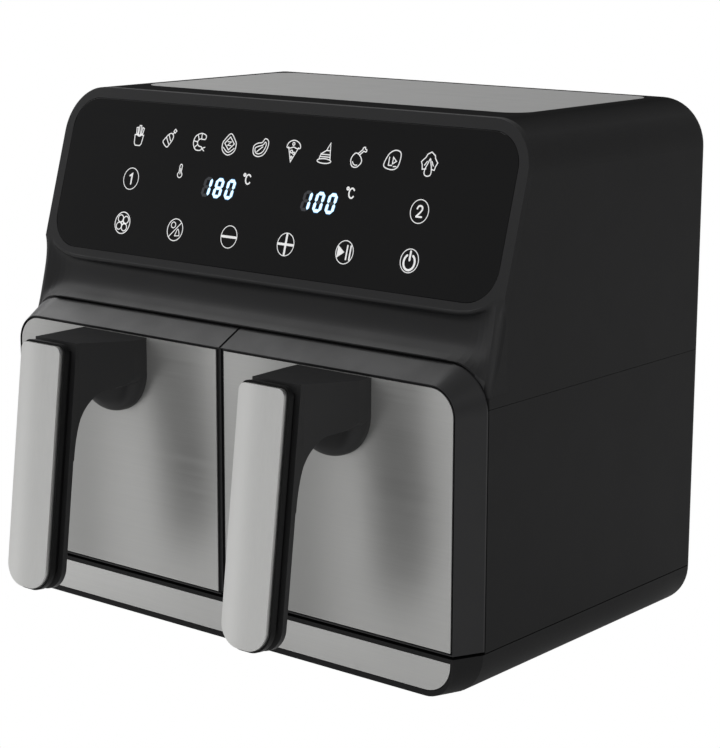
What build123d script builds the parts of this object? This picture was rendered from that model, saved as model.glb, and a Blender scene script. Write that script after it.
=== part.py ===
"""Two-drawer air fryer, built as an assembly of separate pieces.

Frame: +X to the right seen from the front, -Y towards the user, +Z up. The origin is at the middle of the
object's footprint, on the surface that it stands on. All sizes are in millimetres.
"""

import math
import os

from build123d import *

os.makedirs("parts", exist_ok=True)

# ---------------------------------------------------------------- driving dimensions
WIDTH = 380.0  # over the side walls
HALF = WIDTH / 2
FRONT = -87.936  # Y of the drawer faces; depths below are measured back from it
DEPTH = 252.0  # drawer face to rear wall
WALL = 2.8

Z_FOOT = 5.0  # foot height, and the underside of the base
Z_BASE_TOP = 33.4  # lower seam
Z_SIDE_LO, Z_SIDE_HI = 34.0, 179.3  # side shell
Z_UP = 179.6  # upper housing starts
Z_TOP = 340.5

R_TOP = 30.0  # top side edges
R_BOTTOM = 28.0  # bottom side edges
R_REAR = 6.0

# control panel plane: depth at height z is PANEL_D + PANEL_T * (z - PANEL_Z)
PANEL_D, PANEL_Z, PANEL_T = 31.8, 236.7, 0.297
PANEL_ANGLE = math.atan(PANEL_T)
GLASS_HALF, GLASS_H, GLASS_T = 182.8, 101.0, 3.0
BEZEL = 7.2

# drawers
DOOR_Z0, DOOR_Z1 = 35.4, 203.5
DOOR_X0 = 0.9  # half the gap between the two doors
BEVEL_D = 18.0  # depth over which the doors' bevel runs
DOOR_BACK = 19.2
FACE_X1, FACE_Z1 = 181.3, 194.1  # the flat face inside the bevel
R_DOOR, R_FACE = 27.0, 18.0
SKIN_X0, SKIN_X1, SKIN_Z0, SKIN_Z1, R_SKIN, SKIN_T = 3.4, 179.5, 37.0, 192.3, 16.3, 0.8
CAV_X = 95.5  # middle of a cavity and its pan
HAND_X = 91.5  # middle of a handle

# pan
PAN_HX, PAN_D0, PAN_D1, PAN_Z0, PAN_Z1, PAN_T = 80.0, 27.0, 227.0, 43.0, 163.0, 1.6

# handle
GRIP_TOP_D, GRIP_TOP_Z, GRIP_T = -60.9, 191.0, 0.122  # line of the grip's face, leaning out downwards
GRIP_TOP, GRIP_LEN, GRIP_HALF = 4.2, 152.1, 18.6  # ends of the grip above and below that point
BOSS_HALF, BOSS_PROUD, BOSS_Z0, BOSS_Z1 = 28.5, 11.4, 141.5, 192.1

# fan stack
FAN_D = 132.0
CEILING = 228.0


def yy(d):
    """Y of a point d behind the drawer faces."""
    return FRONT + d


def panel_d(z):
    return PANEL_D + PANEL_T * (z - PANEL_Z)


def save(builder, name):
    builder.part.label = name
    export_step(builder.part, f"parts/{name}.step")
    return builder


PANEL = Plane(
    origin=(0, yy(PANEL_D), PANEL_Z),
    x_dir=(1, 0, 0),
    z_dir=(0, -math.cos(PANEL_ANGLE), math.sin(PANEL_ANGLE)),
)
GRIP_ANGLE = math.atan(GRIP_T)
GRIP = Plane(
    origin=(HAND_X, yy(GRIP_TOP_D), GRIP_TOP_Z),
    x_dir=(1, 0, 0),
    z_dir=(0, -math.cos(GRIP_ANGLE), math.sin(GRIP_ANGLE)),
)


def front_plane(d):
    """Plane at depth d facing the user: local x is +X, local y is +Z, normal -Y."""
    return Plane(origin=(0, yy(d), 0), x_dir=(1, 0, 0), z_dir=(0, -1, 0))


def save_solids(builders, name):
    """Write several touching solids, given as builders, into one piece."""
    whole = Compound([solid for b in builders for solid in b.part.solids()])
    whole.label = name
    export_step(whole, f"parts/{name}.step")


def mirror_solids(builders, name):
    whole = Compound([solid.mirror(Plane.YZ) for b in builders for solid in b.part.solids()])
    whole.label = name
    export_step(whole, f"parts/{name}.step")


def mirror_save(builder, name):
    with BuildPart() as other:
        mirror(builder.part, about=Plane.YZ)
    save(other, name)


# ---------------------------------------------------------------- outlines in the front view
def base_outline(half, z0, z1, r):
    """Tray section: square top corners, rounded bottom corners. Call it inside a BuildSketch."""
    with BuildLine() as edge_loop:
        Polyline((-half, z0 + r), (-half, z1), (half, z1), (half, z0 + r))
        RadiusArc((half, z0 + r), (half - r, z0), r)
        Line((half - r, z0), (-half + r, z0))
        RadiusArc((-half + r, z0), (-half, z0 + r), r)
    make_face(edge_loop.edges())


def top_outline(half, z0, z1, r):
    with BuildLine() as edge_loop:
        Polyline((-half, z1 - r), (-half, z0), (half, z0), (half, z1 - r))
        RadiusArc((half, z1 - r), (half - r, z1), -r)
        Line((half - r, z1), (-half + r, z1))
        RadiusArc((-half + r, z1), (-half, z1 - r), -r)
    make_face(edge_loop.edges())


def door_outline(x0, x1, z0, z1, r):
    """Right door: only the top outer corner is rounded."""
    with BuildLine() as edge_loop:
        Polyline((x1, z1 - r), (x1, z0), (x0, z0), (x0, z1), (x1 - r, z1))
        RadiusArc((x1 - r, z1), (x1, z1 - r), r)
    make_face(edge_loop.edges())


# ---------------------------------------------------------------- base tray
with BuildPart() as base_tray:
    with BuildSketch(front_plane(0)):
        base_outline(181.3, 7.2, Z_BASE_TOP, 19.5)
    with BuildSketch(front_plane(BEVEL_D)):
        base_outline(HALF, Z_FOOT, Z_BASE_TOP, R_BOTTOM)
    loft()
    with BuildSketch(front_plane(BEVEL_D)):
        base_outline(HALF, Z_FOOT, Z_BASE_TOP, R_BOTTOM)
    extrude(amount=-(DEPTH - BEVEL_D))
    rear = base_tray.faces().sort_by(Axis.Y)[-1]
    fillet(rear.edges().filter_by(lambda e: e.center().Z < Z_BASE_TOP - 1), radius=R_REAR)
    # main hollow, open upwards behind the sill
    with BuildSketch(front_plane(24.5)):
        base_outline(HALF - WALL, Z_FOOT + 3, Z_BASE_TOP + 5, R_BOTTOM - WALL)
    extrude(amount=-(DEPTH - WALL - 24.5), mode=Mode.SUBTRACT)
    # hollow under the sill, joined to the main one
    with Locations((0, yy(14), 20.4)):
        Box(346, 22.5, 20, mode=Mode.SUBTRACT)
    # recess for the steel trim strip
    with BuildSketch(front_plane(0)):
        base_outline(179.5 + 0.5, 11.1 - 0.5, 30.6 + 0.5, 18.0)
    extrude(amount=-0.8, mode=Mode.SUBTRACT)
    # screw bosses
    with Locations(
        *[(x, yy(d), Z_FOOT + 2.5) for x in (-150, 150) for d in (60, 200)]
    ):
        Cylinder(6.5, 17, align=(Align.CENTER, Align.CENTER, Align.MIN))
    with Locations(*[(x, yy(d), Z_FOOT) for x in (-150, 150) for d in (60, 200)]):
        Cylinder(2.05, 40, align=(Align.CENTER, Align.CENTER, Align.MIN), mode=Mode.SUBTRACT)
        Cylinder(4.3, 3.2, align=(Align.CENTER, Align.CENTER, Align.MIN), mode=Mode.SUBTRACT)
    # air intake slots in the floor
    with BuildSketch(Plane.XY.offset(Z_FOOT - 1)):
        for cx in (-CAV_X, CAV_X):
            with Locations((cx, yy(130))):
                with GridLocations(9.0, 62.0, 11, 2):
                    SlotOverall(50, 3.6, rotation=90)
    extrude(amount=6, mode=Mode.SUBTRACT)
save(base_tray, "base_tray")

with BuildPart() as base_trim:
    with BuildSketch(front_plane(0)):
        base_outline(179.5, 11.1, 30.6, 18.0)
    extrude(amount=-0.8)
save(base_trim, "base_trim")

with BuildPart() as rubber_feet:
    with Locations(*[(x, yy(d), 0) for x in (-138, 138) for d in (34, 222)]):
        Cone(10.0, 11.5, Z_FOOT, align=(Align.CENTER, Align.CENTER, Align.MIN))
save(rubber_feet, "rubber_feet")

# ---------------------------------------------------------------- side panels and rear panel
REAR_D0 = DEPTH - R_REAR  # the rear panel's rounded corners start here
with BuildPart() as side_panel_right:
    with Locations((HALF - WALL / 2, yy((20.2 + REAR_D0 - 0.02) / 2), (Z_SIDE_LO + Z_SIDE_HI) / 2)):
        Box(WALL, REAR_D0 - 0.02 - 20.2, Z_SIDE_HI - Z_SIDE_LO)
save(side_panel_right, "side_panel_right")
mirror_save(side_panel_right, "side_panel_left")

with BuildPart() as rear_panel:
    with BuildSketch(Plane.XY.offset(Z_SIDE_LO)):
        with BuildLine():
            Line((-HALF, yy(REAR_D0)), (-HALF + WALL, yy(REAR_D0)))
            RadiusArc((-HALF + WALL, yy(REAR_D0)), (-HALF + WALL + 3.2, yy(DEPTH - WALL)), 3.2)
            Line((-HALF + WALL + 3.2, yy(DEPTH - WALL)), (HALF - WALL - 3.2, yy(DEPTH - WALL)))
            RadiusArc((HALF - WALL - 3.2, yy(DEPTH - WALL)), (HALF - WALL, yy(REAR_D0)), 3.2)
            Line((HALF - WALL, yy(REAR_D0)), (HALF, yy(REAR_D0)))
            RadiusArc((HALF, yy(REAR_D0)), (HALF - R_REAR, yy(DEPTH)), -R_REAR)
            Line((HALF - R_REAR, yy(DEPTH)), (-HALF + R_REAR, yy(DEPTH)))
            RadiusArc((-HALF + R_REAR, yy(DEPTH)), (-HALF, yy(REAR_D0)), -R_REAR)
        make_face()
    extrude(amount=Z_SIDE_HI - Z_SIDE_LO)
    # hole for the cord gland
    with Locations((150, yy(DEPTH), 62)):
        Cylinder(8.1, 12, rotation=(90, 0, 0), mode=Mode.SUBTRACT)
    # rear screws
    with Locations(*[(x, yy(DEPTH), 162) for x in (-172, 172)]):
        Cylinder(2.05, 12, rotation=(90, 0, 0), mode=Mode.SUBTRACT)
save(rear_panel, "rear_panel")

# ---------------------------------------------------------------- upper housing
D_CUT = 5.25  # the front fascia's thickness along Y
NECK_BACK, Z_CHEEK = 37.2, 186.5  # rear of the neck, and the lower end of its sides
with BuildPart() as upper_housing:
    with BuildSketch(front_plane(20.2)):
        top_outline(HALF, Z_UP, Z_TOP, R_TOP)
    extrude(amount=-(DEPTH - 20.2))
    rear = upper_housing.faces().sort_by(Axis.Y)[-1]
    fillet(rear.edges().filter_by(lambda e: e.center().Z > Z_UP + 1), radius=R_REAR)
    with BuildSketch(front_plane(10)):
        top_outline(HALF - WALL, Z_UP - 10, Z_TOP - WALL, R_TOP - WALL)
    extrude(amount=-(DEPTH - WALL - 10), mode=Mode.SUBTRACT)
    # slanted front edge
    with BuildSketch(Plane.YZ):
        with BuildLine():
            Polyline(
                (yy(NECK_BACK + 0.05), Z_CHEEK - 0.05),
                (yy(NECK_BACK + 0.05), PANEL_Z + (NECK_BACK + 0.05 - D_CUT - PANEL_D) / PANEL_T),
                (yy(panel_d(Z_TOP + 10) + D_CUT), Z_TOP + 10),
                (yy(0), Z_TOP + 10),
                (yy(0), Z_CHEEK - 0.05),
                close=True,
            )
        make_face()
    extrude(amount=HALF + 5, both=True, mode=Mode.SUBTRACT)
    # shallow recess for the steel top plate
    with BuildSketch(Plane.XY.offset(Z_TOP)):
        with Locations((0, yy((92.4 + 241.1) / 2))):
            RectangleRounded(2 * 156.4, 241.1 - 92.4, 15.5)
    extrude(amount=-1.0, mode=Mode.SUBTRACT)
    # exhaust openings in the rear wall
    with BuildSketch(front_plane(DEPTH + 1)):
        with Locations((-CAV_X, 288), (CAV_X, 288)):
            RectangleRounded(112, 52, 8)
    extrude(amount=8, mode=Mode.SUBTRACT)
    with Locations(*[(x, yy(DEPTH), z) for x in (-172, 172) for z in (197, 318)]):
        Cylinder(2.05, 12, rotation=(90, 0, 0), mode=Mode.SUBTRACT)
save(upper_housing, "upper_housing")

with BuildPart() as top_plate:
    with BuildSketch(Plane.XY.offset(Z_TOP - 1.0)):
        with Locations((0, yy((92.9 + 240.6) / 2))):
            RectangleRounded(2 * 155.9, 240.6 - 92.9, 15.0)
    extrude(amount=1.0)
save(top_plate, "top_plate")

# ---------------------------------------------------------------- front fascia: slanted bezel and scooped neck
# front curves of the neck (depth, height) at stations across the width: a rounded lip under the bezel, the hollow,
# and the sweep forward to the door's top edge; towards the ends the lip rises and the hollow gives way to a rounded
# corner that carries the bezel's slope down to the doors. The first point of each lies on the panel's plane.
NECK = {
    150.0: [(30.37, 231.9), (29.98, 230.3), (30.8, 229.2), (32.6, 228.6), (34.1, 226.9), (34.4, 222.5), (32.9, 217.0),
            (30.2, 212.0), (25.2, 208.2), (17.5, 205.9)],
    160.0: [(30.4, 232.2), (30.06, 230.6), (30.85, 229.5), (32.65, 228.9), (34.1, 227.2), (34.4, 222.7),
            (32.9, 217.0), (30.2, 212.0), (25.2, 208.1), (17.5, 205.7)],
    167.0: [(30.6, 233.0), (30.35, 231.5), (31.1, 230.5), (32.7, 229.9), (34.1, 228.1), (34.4, 223.3), (32.9, 217.2),
            (30.1, 211.9), (25.0, 207.6), (17.5, 204.7)],
    172.0: [(31.1, 234.5), (30.85, 233.0), (31.5, 232.0), (32.9, 231.3), (34.0, 229.4), (34.1, 224.2), (32.7, 217.6),
            (29.9, 211.8), (24.8, 206.8), (17.7, 203.3)],
    176.0: [(31.6, 236.2), (31.4, 234.7), (31.9, 233.7), (32.9, 232.9), (33.6, 231.0), (33.5, 225.1), (32.0, 218.0),
            (29.4, 211.6), (24.7, 205.7), (18.3, 201.6)],
    179.5: [(32.2, 238.2), (32.05, 236.9), (32.3, 235.9), (32.7, 234.6), (33.0, 232.2), (32.4, 225.6), (30.8, 218.3),
            (28.5, 211.3), (24.6, 204.7), (19.4, 199.5)],
    182.5: [(32.8, 240.2), (32.65, 239.0), (32.6, 237.9), (32.5, 236.4), (32.2, 232.7), (31.2, 226.0), (29.5, 218.5),
            (27.4, 211.1), (24.7, 204.0), (20.9, 197.2)],
    185.0: [(33.2, 241.6), (33.0, 240.4), (32.65, 239.1), (32.2, 237.2), (31.3, 232.6), (30.2, 226.0), (28.6, 218.5),
            (26.7, 211.0), (24.9, 203.5), (22.4, 195.0)],
}
R_NECK = 5.0  # corner rounding of the neck's ends, fading out at the bezel and at the doors
NECK_FADE = (0.02, 0.08, 0.2, 0.4, 0.8, 1.0, 1.0, 1.0, 0.9, 0.3)
for x, foot in ((186.5, (22.0, 192.9)), (187.7, (21.6, 191.0)), (188.7, (21.2, 189.3)), (189.4, (20.9, 187.9)),
                (190.0, (20.8, 187.1))):
    drop = R_NECK - math.sqrt(R_NECK**2 - (x - 185.0) ** 2)
    NECK[x] = [(d + drop * f, z) for (d, z), f in zip(NECK[185.0][:-1] + [foot], NECK_FADE)]
NECK = {x: [(panel_d(pts[0][1]), pts[0][1])] + pts[1:] for x, pts in NECK.items()}


def fascia_section(curve):
    """Section across the fascia."""
    pts = [(yy(d), z) for d, z in curve]
    foot = 20.4 if curve[-1][0] > 20.5 else curve[-1][0]
    with BuildLine() as edge_loop:
        Line((yy(panel_d(Z_TOP)), Z_TOP), pts[0])
        Spline(*pts)
        Polyline(
            pts[-1], (yy(foot), Z_CHEEK), (yy(NECK_BACK), Z_CHEEK),
            (yy(NECK_BACK), PANEL_Z + (NECK_BACK - 5.2 - PANEL_D) / PANEL_T),
            (yy(panel_d(Z_TOP) + 5.2), Z_TOP), (yy(panel_d(Z_TOP)), Z_TOP),
        )
    make_face(edge_loop.edges())


with BuildPart() as fascia_end:
    for x in sorted(NECK):
        with BuildSketch(Plane.YZ.offset(x)):
            fascia_section(NECK[x])
    loft(ruled=True)
with BuildPart() as front_fascia:
    with BuildSketch(Plane.YZ):
        fascia_section(NECK[150.0])
    extrude(amount=150.0, both=True)
    add(fascia_end.part)
    add(fascia_end.part.mirror(Plane.YZ))
    # outline: rounded above, following the doors and the frame behind them below
    with BuildSketch(front_plane(0)):
        top_outline(HALF, 170, Z_TOP, R_TOP)
    extrude(amount=-90, mode=Mode.INTERSECT)
    with BuildSketch(front_plane(0)):
        with Locations((0, 100)):
            RectangleRounded(2 * (HALF + 1.7), 2 * (DOOR_Z1 + 1.7 - 100), R_DOOR + 1.7)
    extrude(amount=-19.7, mode=Mode.SUBTRACT)
    with BuildSketch(front_plane(19.0)):
        with Locations((0, 100)):
            RectangleRounded(2 * 187.4, 2 * 104.6, 25.4)
    extrude(amount=-25, mode=Mode.SUBTRACT)
    with Locations((0, yy(26.3), 201.6)):
        Box(2 * 184.6, 25, 120, align=(Align.CENTER, Align.MIN, Align.MAX), mode=Mode.SUBTRACT)
    # hollow behind the neck
    with BuildSketch(Plane.YZ):
        with BuildLine():
            Spline((yy(37.0), 222.6), (yy(35.4), 216.0), (yy(32.5), 210.4), (yy(26.5), 206.0))
            Polyline((yy(26.5), 206.0), (yy(26.5), 200), (yy(40), 200), (yy(40), 222.6), (yy(37.0), 222.6))
        make_face()
    extrude(amount=172.0, both=True, mode=Mode.SUBTRACT)
    # seat for the glass, and the window behind it
    with BuildSketch(PANEL.offset(1.0)):
        with Locations((0, GLASS_H / 2)):
            RectangleRounded(2 * (GLASS_HALF + 0.15), GLASS_H + 0.3, 21.5)
    extrude(amount=-(GLASS_T + 1.05), mode=Mode.SUBTRACT)
    with BuildSketch(PANEL.offset(-GLASS_T)):
        with Locations((0, GLASS_H / 2)):
            RectangleRounded(2 * (GLASS_HALF - 8), GLASS_H - 14, 14)
    extrude(amount=-12, mode=Mode.SUBTRACT)
save(front_fascia, "front_fascia")

with BuildPart() as glass_panel:
    with BuildSketch(PANEL):
        with Locations((0, GLASS_H / 2)):
            RectangleRounded(2 * GLASS_HALF, GLASS_H, 21.3)
    extrude(amount=-GLASS_T)
    fillet(glass_panel.faces().sort_by(Axis((0, 0, 0), PANEL.z_dir))[-1].edges(), radius=0.5)
save(glass_panel, "glass_panel")

# two three-digit display modules, and the touch board behind them
with BuildPart() as display_modules:
    with BuildSketch(PANEL.offset(-GLASS_T - 0.1)):
        with Locations((-39.5, 48.6), (44.2, 47.2)):
            RectangleRounded(40, 19, 1)
    extrude(amount=-6.4)
save(display_modules, "display_modules")

with BuildPart() as touch_board:
    with BuildSketch(PANEL.offset(-GLASS_T - 6.6)):
        with Locations((0, 48)):
            RectangleRounded(318, 76, 3)
    extrude(amount=-1.6)
    with BuildSketch(PANEL.offset(-GLASS_T - 8.2)):
        with Locations((-100, 44), (90, 52), (0, 56)):
            Rectangle(14, 14)
        with Locations((0, 22)):
            Rectangle(26, 9)
    extrude(amount=-3.0)
save(touch_board, "touch_board")

# ---------------------------------------------------------------- front frame behind the doors
OPEN_X0, OPEN_X1, OPEN_Z0, OPEN_Z1 = 8.0, 183.0, 38.0, 198.0
with BuildPart() as front_frame:
    with BuildSketch(front_plane(20.3)):
        top_outline(HALF - WALL - 0.2, Z_SIDE_LO, 204.2, 25.0)
        for s in (-1, 1):
            with Locations((s * (OPEN_X0 + OPEN_X1) / 2, (OPEN_Z0 + OPEN_Z1) / 2)):
                RectangleRounded(OPEN_X1 - OPEN_X0, OPEN_Z1 - OPEN_Z0, 10, mode=Mode.SUBTRACT)
    extrude(amount=-6.0)
save(front_frame, "front_frame")

# ---------------------------------------------------------------- right cavity, heater and fan stack (mirrored to the left)
LIN_T = 1.0
LIN_Z0, LIN_Z1, LIN_D0, LIN_D1 = 38.0, 200.0, 26.4, 235.0  # inside of the cavity
liner_mid = yy((LIN_D0 + LIN_D1) / 2)
with BuildPart() as liner_walls:
    with Locations((CAV_X - 88, liner_mid, 119), (CAV_X + 88, liner_mid, 119)):
        Box(LIN_T, LIN_D1 - LIN_D0, LIN_Z1 - LIN_Z0)
with BuildPart() as liner_floor:
    with Locations((CAV_X, liner_mid, LIN_Z0 - LIN_T / 2)):
        Box(177, LIN_D1 - LIN_D0, LIN_T)
with BuildPart() as liner_rear:
    with Locations((CAV_X, yy(LIN_D1 + LIN_T / 2), 119)):
        Box(177, LIN_T, LIN_Z1 - LIN_Z0 + 2 * LIN_T)
    with Locations((CAV_X, yy(235.5), 160.5)):
        Cylinder(2.6, 12, rotation=(90, 0, 0), mode=Mode.SUBTRACT)
with BuildPart() as liner_ceiling:
    with Locations((CAV_X, liner_mid, LIN_Z1 + LIN_T / 2)):
        Box(177, LIN_D1 - LIN_D0, LIN_T)
    with Locations((CAV_X, yy(FAN_D), LIN_Z1)):
        Cylinder(70, 10, mode=Mode.SUBTRACT)
    with Locations((CAV_X + 70, yy(212), 200)):
        Cylinder(3.05, 12, mode=Mode.SUBTRACT)
with BuildPart() as liner_dome:
    with Locations((CAV_X, yy(FAN_D), LIN_Z1 + LIN_T)):
        Cylinder(71, CEILING - LIN_Z1 - LIN_T, align=(Align.CENTER, Align.CENTER, Align.MIN))
    with Locations((CAV_X, yy(FAN_D), 190)):
        Cylinder(70, CEILING - LIN_T - 190, align=(Align.CENTER, Align.CENTER, Align.MIN), mode=Mode.SUBTRACT)
        Cylinder(6, 60, align=(Align.CENTER, Align.CENTER, Align.MIN), mode=Mode.SUBTRACT)
    # heater terminal holes
    for ang in (100.0,):
        for r in (46.0, 60.0):
            with Locations((CAV_X + r * math.cos(math.radians(ang)), yy(FAN_D) + r * math.sin(math.radians(ang)), 225)):
                Cylinder(3.6, 20, mode=Mode.SUBTRACT)
# guide rails under the pan's rim
with BuildPart() as liner_rails:
    for x in (OPEN_X0 + 1.95, OPEN_X1 - 1.95):
        with Locations((x, yy(130), 159.2)):
            Box(3.9, 200, 3.0)
LINER = (liner_walls, liner_floor, liner_rear, liner_ceiling, liner_dome, liner_rails)
save_solids(LINER, "cavity_liner_right")
mirror_solids(LINER, "cavity_liner_left")


def ring_point(r, deg):
    return (CAV_X + r * math.cos(math.radians(deg)), yy(FAN_D) + r * math.sin(math.radians(deg)), 188.0)


with BuildPart() as heater_right:
    with BuildLine() as heater_path:
        ThreePointArc(ring_point(60, 100), ring_point(60, 260), ring_point(60, 420))
        ThreePointArc(
            ring_point(60, 60),
            (
                CAV_X + 53 * math.cos(math.radians(60)) - 7 * math.sin(math.radians(60)),
                yy(FAN_D) + 53 * math.sin(math.radians(60)) + 7 * math.cos(math.radians(60)),
                188.0,
            ),
            ring_point(46, 60),
        )
        ThreePointArc(ring_point(46, 60), ring_point(46, 260), ring_point(46, 100))
    with BuildSketch(Plane(origin=ring_point(60, 100), z_dir=heater_path.line % 0)):
        Circle(3.25)
    sweep()
    with Locations(ring_point(60, 100), ring_point(46, 100)):
        Sphere(3.25)
        Cylinder(3.25, 46, align=(Align.CENTER, Align.CENTER, Align.MIN))
save(heater_right, "heater_right")
mirror_save(heater_right, "heater_left")

with BuildPart() as heater_guard_right:
    with Locations((CAV_X, yy(FAN_D), 177)):
        Torus(62, 1.2)
        Torus(42, 1.2)
        Torus(22, 1.2)
        for k in range(3):
            Box(125, 2.2, 2.2, rotation=(0, 0, 60 * k))
        for k in range(3):
            a = math.radians(-30 + 120 * k)
            with Locations((64.3 * math.cos(a), 64.3 * math.sin(a), 0)):
                Box(6, 2.2, 2.2, rotation=(0, 0, -30 + 120 * k))
with BuildPart() as guard_legs:
    for k in range(3):
        a = math.radians(-30 + 120 * k)
        with Locations((CAV_X + 65.8 * math.cos(a), yy(FAN_D) + 65.8 * math.sin(a), 178.1)):
            Cylinder(1.1, CEILING - LIN_T - 178.1, align=(Align.CENTER, Align.CENTER, Align.MIN))
save_solids((heater_guard_right, guard_legs), "heater_guard_right")
mirror_solids((heater_guard_right, guard_legs), "heater_guard_left")

with BuildPart() as hot_fan_right:
    with Locations((CAV_X, yy(FAN_D), 219.0)):
        Cylinder(40, 1.2)
    with Locations((CAV_X, yy(FAN_D), 213.0)):
        Cylinder(7, 12)
    for k in range(10):
        a = 36.0 * k
        with Locations((CAV_X + 27 * math.cos(math.radians(a)), yy(FAN_D) + 27 * math.sin(math.radians(a)), 212.0)):
            Box(24, 1.2, 14, rotation=(0, 0, a + 22))
    with Locations((CAV_X, yy(FAN_D), 213.0)):
        Cylinder(3.0, 60, mode=Mode.SUBTRACT)
save(hot_fan_right, "hot_fan_right")
mirror_save(hot_fan_right, "hot_fan_left")

with BuildPart() as fan_shaft_right:
    with Locations((CAV_X, yy(FAN_D), 203.0)):
        Cylinder(3.0, 97, align=(Align.CENTER, Align.CENTER, Align.MIN))
    with Locations((CAV_X, yy(FAN_D), 203.0)):
        Cylinder(5.2, 4.0, align=(Align.CENTER, Align.CENTER, Align.MIN))
save(fan_shaft_right, "fan_shaft_right")
mirror_save(fan_shaft_right, "fan_shaft_left")

with BuildPart() as cooling_fan_right:
    with Locations((CAV_X, yy(FAN_D), 243.0)):
        Cylinder(9, 10)
    with Locations((CAV_X, yy(FAN_D), 243.0)):
        with PolarLocations(24, 7):
            Box(36, 13, 1.4, rotation=(24, 0, 0))
    with Locations((CAV_X, yy(FAN_D), 243.0)):
        Cylinder(3.0, 60, mode=Mode.SUBTRACT)
save(cooling_fan_right, "cooling_fan_right")
mirror_save(cooling_fan_right, "cooling_fan_left")

with BuildPart() as motor_right:
    with Locations((CAV_X, yy(FAN_D), 259.2)):
        Cylinder(29, 32, align=(Align.CENTER, Align.CENTER, Align.MIN))
    fillet(motor_right.edges().filter_by(GeomType.CIRCLE), radius=3)
    with Locations((CAV_X, yy(FAN_D), 256.0)):
        Cylinder(10, 3.2, align=(Align.CENTER, Align.CENTER, Align.MIN))
    with Locations((CAV_X, yy(FAN_D), 291.2)):
        Cylinder(10, 3.2, align=(Align.CENTER, Align.CENTER, Align.MIN))
    with Locations((CAV_X, yy(FAN_D), 240.0)):
        Cylinder(3.05, 100, align=(Align.CENTER, Align.CENTER, Align.MIN), mode=Mode.SUBTRACT)
save(motor_right, "motor_right")
mirror_save(motor_right, "motor_left")

with BuildPart() as motor_bracket_right:
    with BuildSketch(Plane.XY.offset(258.0)):
        with Locations((CAV_X, yy(FAN_D))):
            Circle(34)
            for k in range(3):
                with Locations(Location((0, 0), 30 + 120 * k)):
                    with Locations((31, 0)):
                        Rectangle(64, 16)
            Circle(10.5, mode=Mode.SUBTRACT)
    extrude(amount=1.2)
    for k in range(3):
        a = 30 + 120 * k
        with Locations(
            (CAV_X + 62.4 * math.cos(math.radians(a)), yy(FAN_D) + 62.4 * math.sin(math.radians(a)), CEILING)
        ):
            Box(1.2, 16, 30.6, rotation=(0, 0, a), align=(Align.CENTER, Align.CENTER, Align.MIN))
            Box(9, 16, 1.2, rotation=(0, 0, a), align=(Align.CENTER, Align.CENTER, Align.MIN))
with BuildPart() as motor_brackets:
    add(motor_bracket_right.part)
    mirror(motor_bracket_right.part, about=Plane.YZ)
save(motor_brackets, "motor_brackets")

with BuildPart() as temp_sensors:
    for s in (-1, 1):
        with Locations((s * (CAV_X + 70), yy(212), 187)):
            Cylinder(3.0, 20, align=(Align.CENTER, Align.CENTER, Align.MIN))
        with Locations((s * (CAV_X + 70), yy(212), 202)):
            Cylinder(5.0, 3, align=(Align.CENTER, Align.CENTER, Align.MIN))
save(temp_sensors, "temp_sensors")

# drawer microswitches on the back of the liners
with BuildPart() as drawer_switch_right:
    with Locations((CAV_X, yy(241.0), 160.5)):
        Box(22, 9.6, 11)
    with Locations((CAV_X, yy(238.2), 160.5)):
        Cylinder(1.65, 10.0, rotation=(90, 0, 0), mode=Mode.SUBTRACT)
    with Locations((CAV_X - 6, yy(247.3), 160.5), (CAV_X + 6, yy(247.3), 160.5)):
        Box(4.8, 3.0, 0.8)
save(drawer_switch_right, "drawer_switch_right")
mirror_save(drawer_switch_right, "drawer_switch_left")

with BuildPart() as switch_plunger_right:
    with Locations((CAV_X, yy(231.35), 160.5)):
        Cylinder(1.6, 8.0, rotation=(-90, 0, 0), align=(Align.CENTER, Align.CENTER, Align.MIN))
    fillet(switch_plunger_right.edges().sort_by(Axis.Y)[0], radius=0.6)
save(switch_plunger_right, "switch_plunger_right")
mirror_save(switch_plunger_right, "switch_plunger_left")

# ---------------------------------------------------------------- power board and ribbon
with BuildPart() as power_board:
    with Locations((0, yy(146), 256)):
        Box(1.6, 112, 86)
    with Locations((9.8, yy(118), 272)):
        Box(18, 24, 28)
    with Locations((6.8, yy(160), 274), (6.8, yy(184), 274)):
        Box(12, 16, 20)
    with Locations((5.8, yy(176), 236)):
        Cylinder(5, 18, rotation=(0, 90, 0))
    with Locations((-8.8, yy(150), 250)):
        Box(16, 44, 30)
    with Locations((5.3, yy(126), 236)):
        Box(9, 30, 12)
save(power_board, "power_board")

with BuildPart() as ribbon_cable:
    with BuildSketch(Plane.YZ.offset(-13)):
        with BuildLine():
            pts = [(53.2, 259.5), (60.0, 247.0), (72.0, 226.5), (89.4, 226.5)]
            Polyline(*[(yy(d), z) for d, z in pts], *[(yy(d), z - 1.0) for d, z in reversed(pts)], close=True)
        make_face()
    extrude(amount=26)
save(ribbon_cable, "ribbon_cable")

# ---------------------------------------------------------------- rear pieces
with BuildPart() as exhaust_grille_right:
    with BuildSketch(front_plane(DEPTH + 2.0)):
        with Locations((CAV_X, 288)):
            RectangleRounded(122, 62, 12)
    extrude(amount=2.0)
    with BuildSketch(front_plane(DEPTH)):
        with Locations((CAV_X, 288)):
            RectangleRounded(111.6, 51.6, 8)
            RectangleRounded(107, 47, 6, mode=Mode.SUBTRACT)
    extrude(amount=6.0)
    with BuildSketch(front_plane(DEPTH + 3.0)):
        with Locations((CAV_X, 288)):
            with GridLocations(0, 7.6, 1, 6):
                SlotOverall(98, 3.6)
    extrude(amount=4.0, mode=Mode.SUBTRACT)
with BuildPart() as exhaust_grilles:
    add(exhaust_grille_right.part)
    mirror(exhaust_grille_right.part, about=Plane.YZ)
save(exhaust_grilles, "exhaust_grilles")

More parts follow.
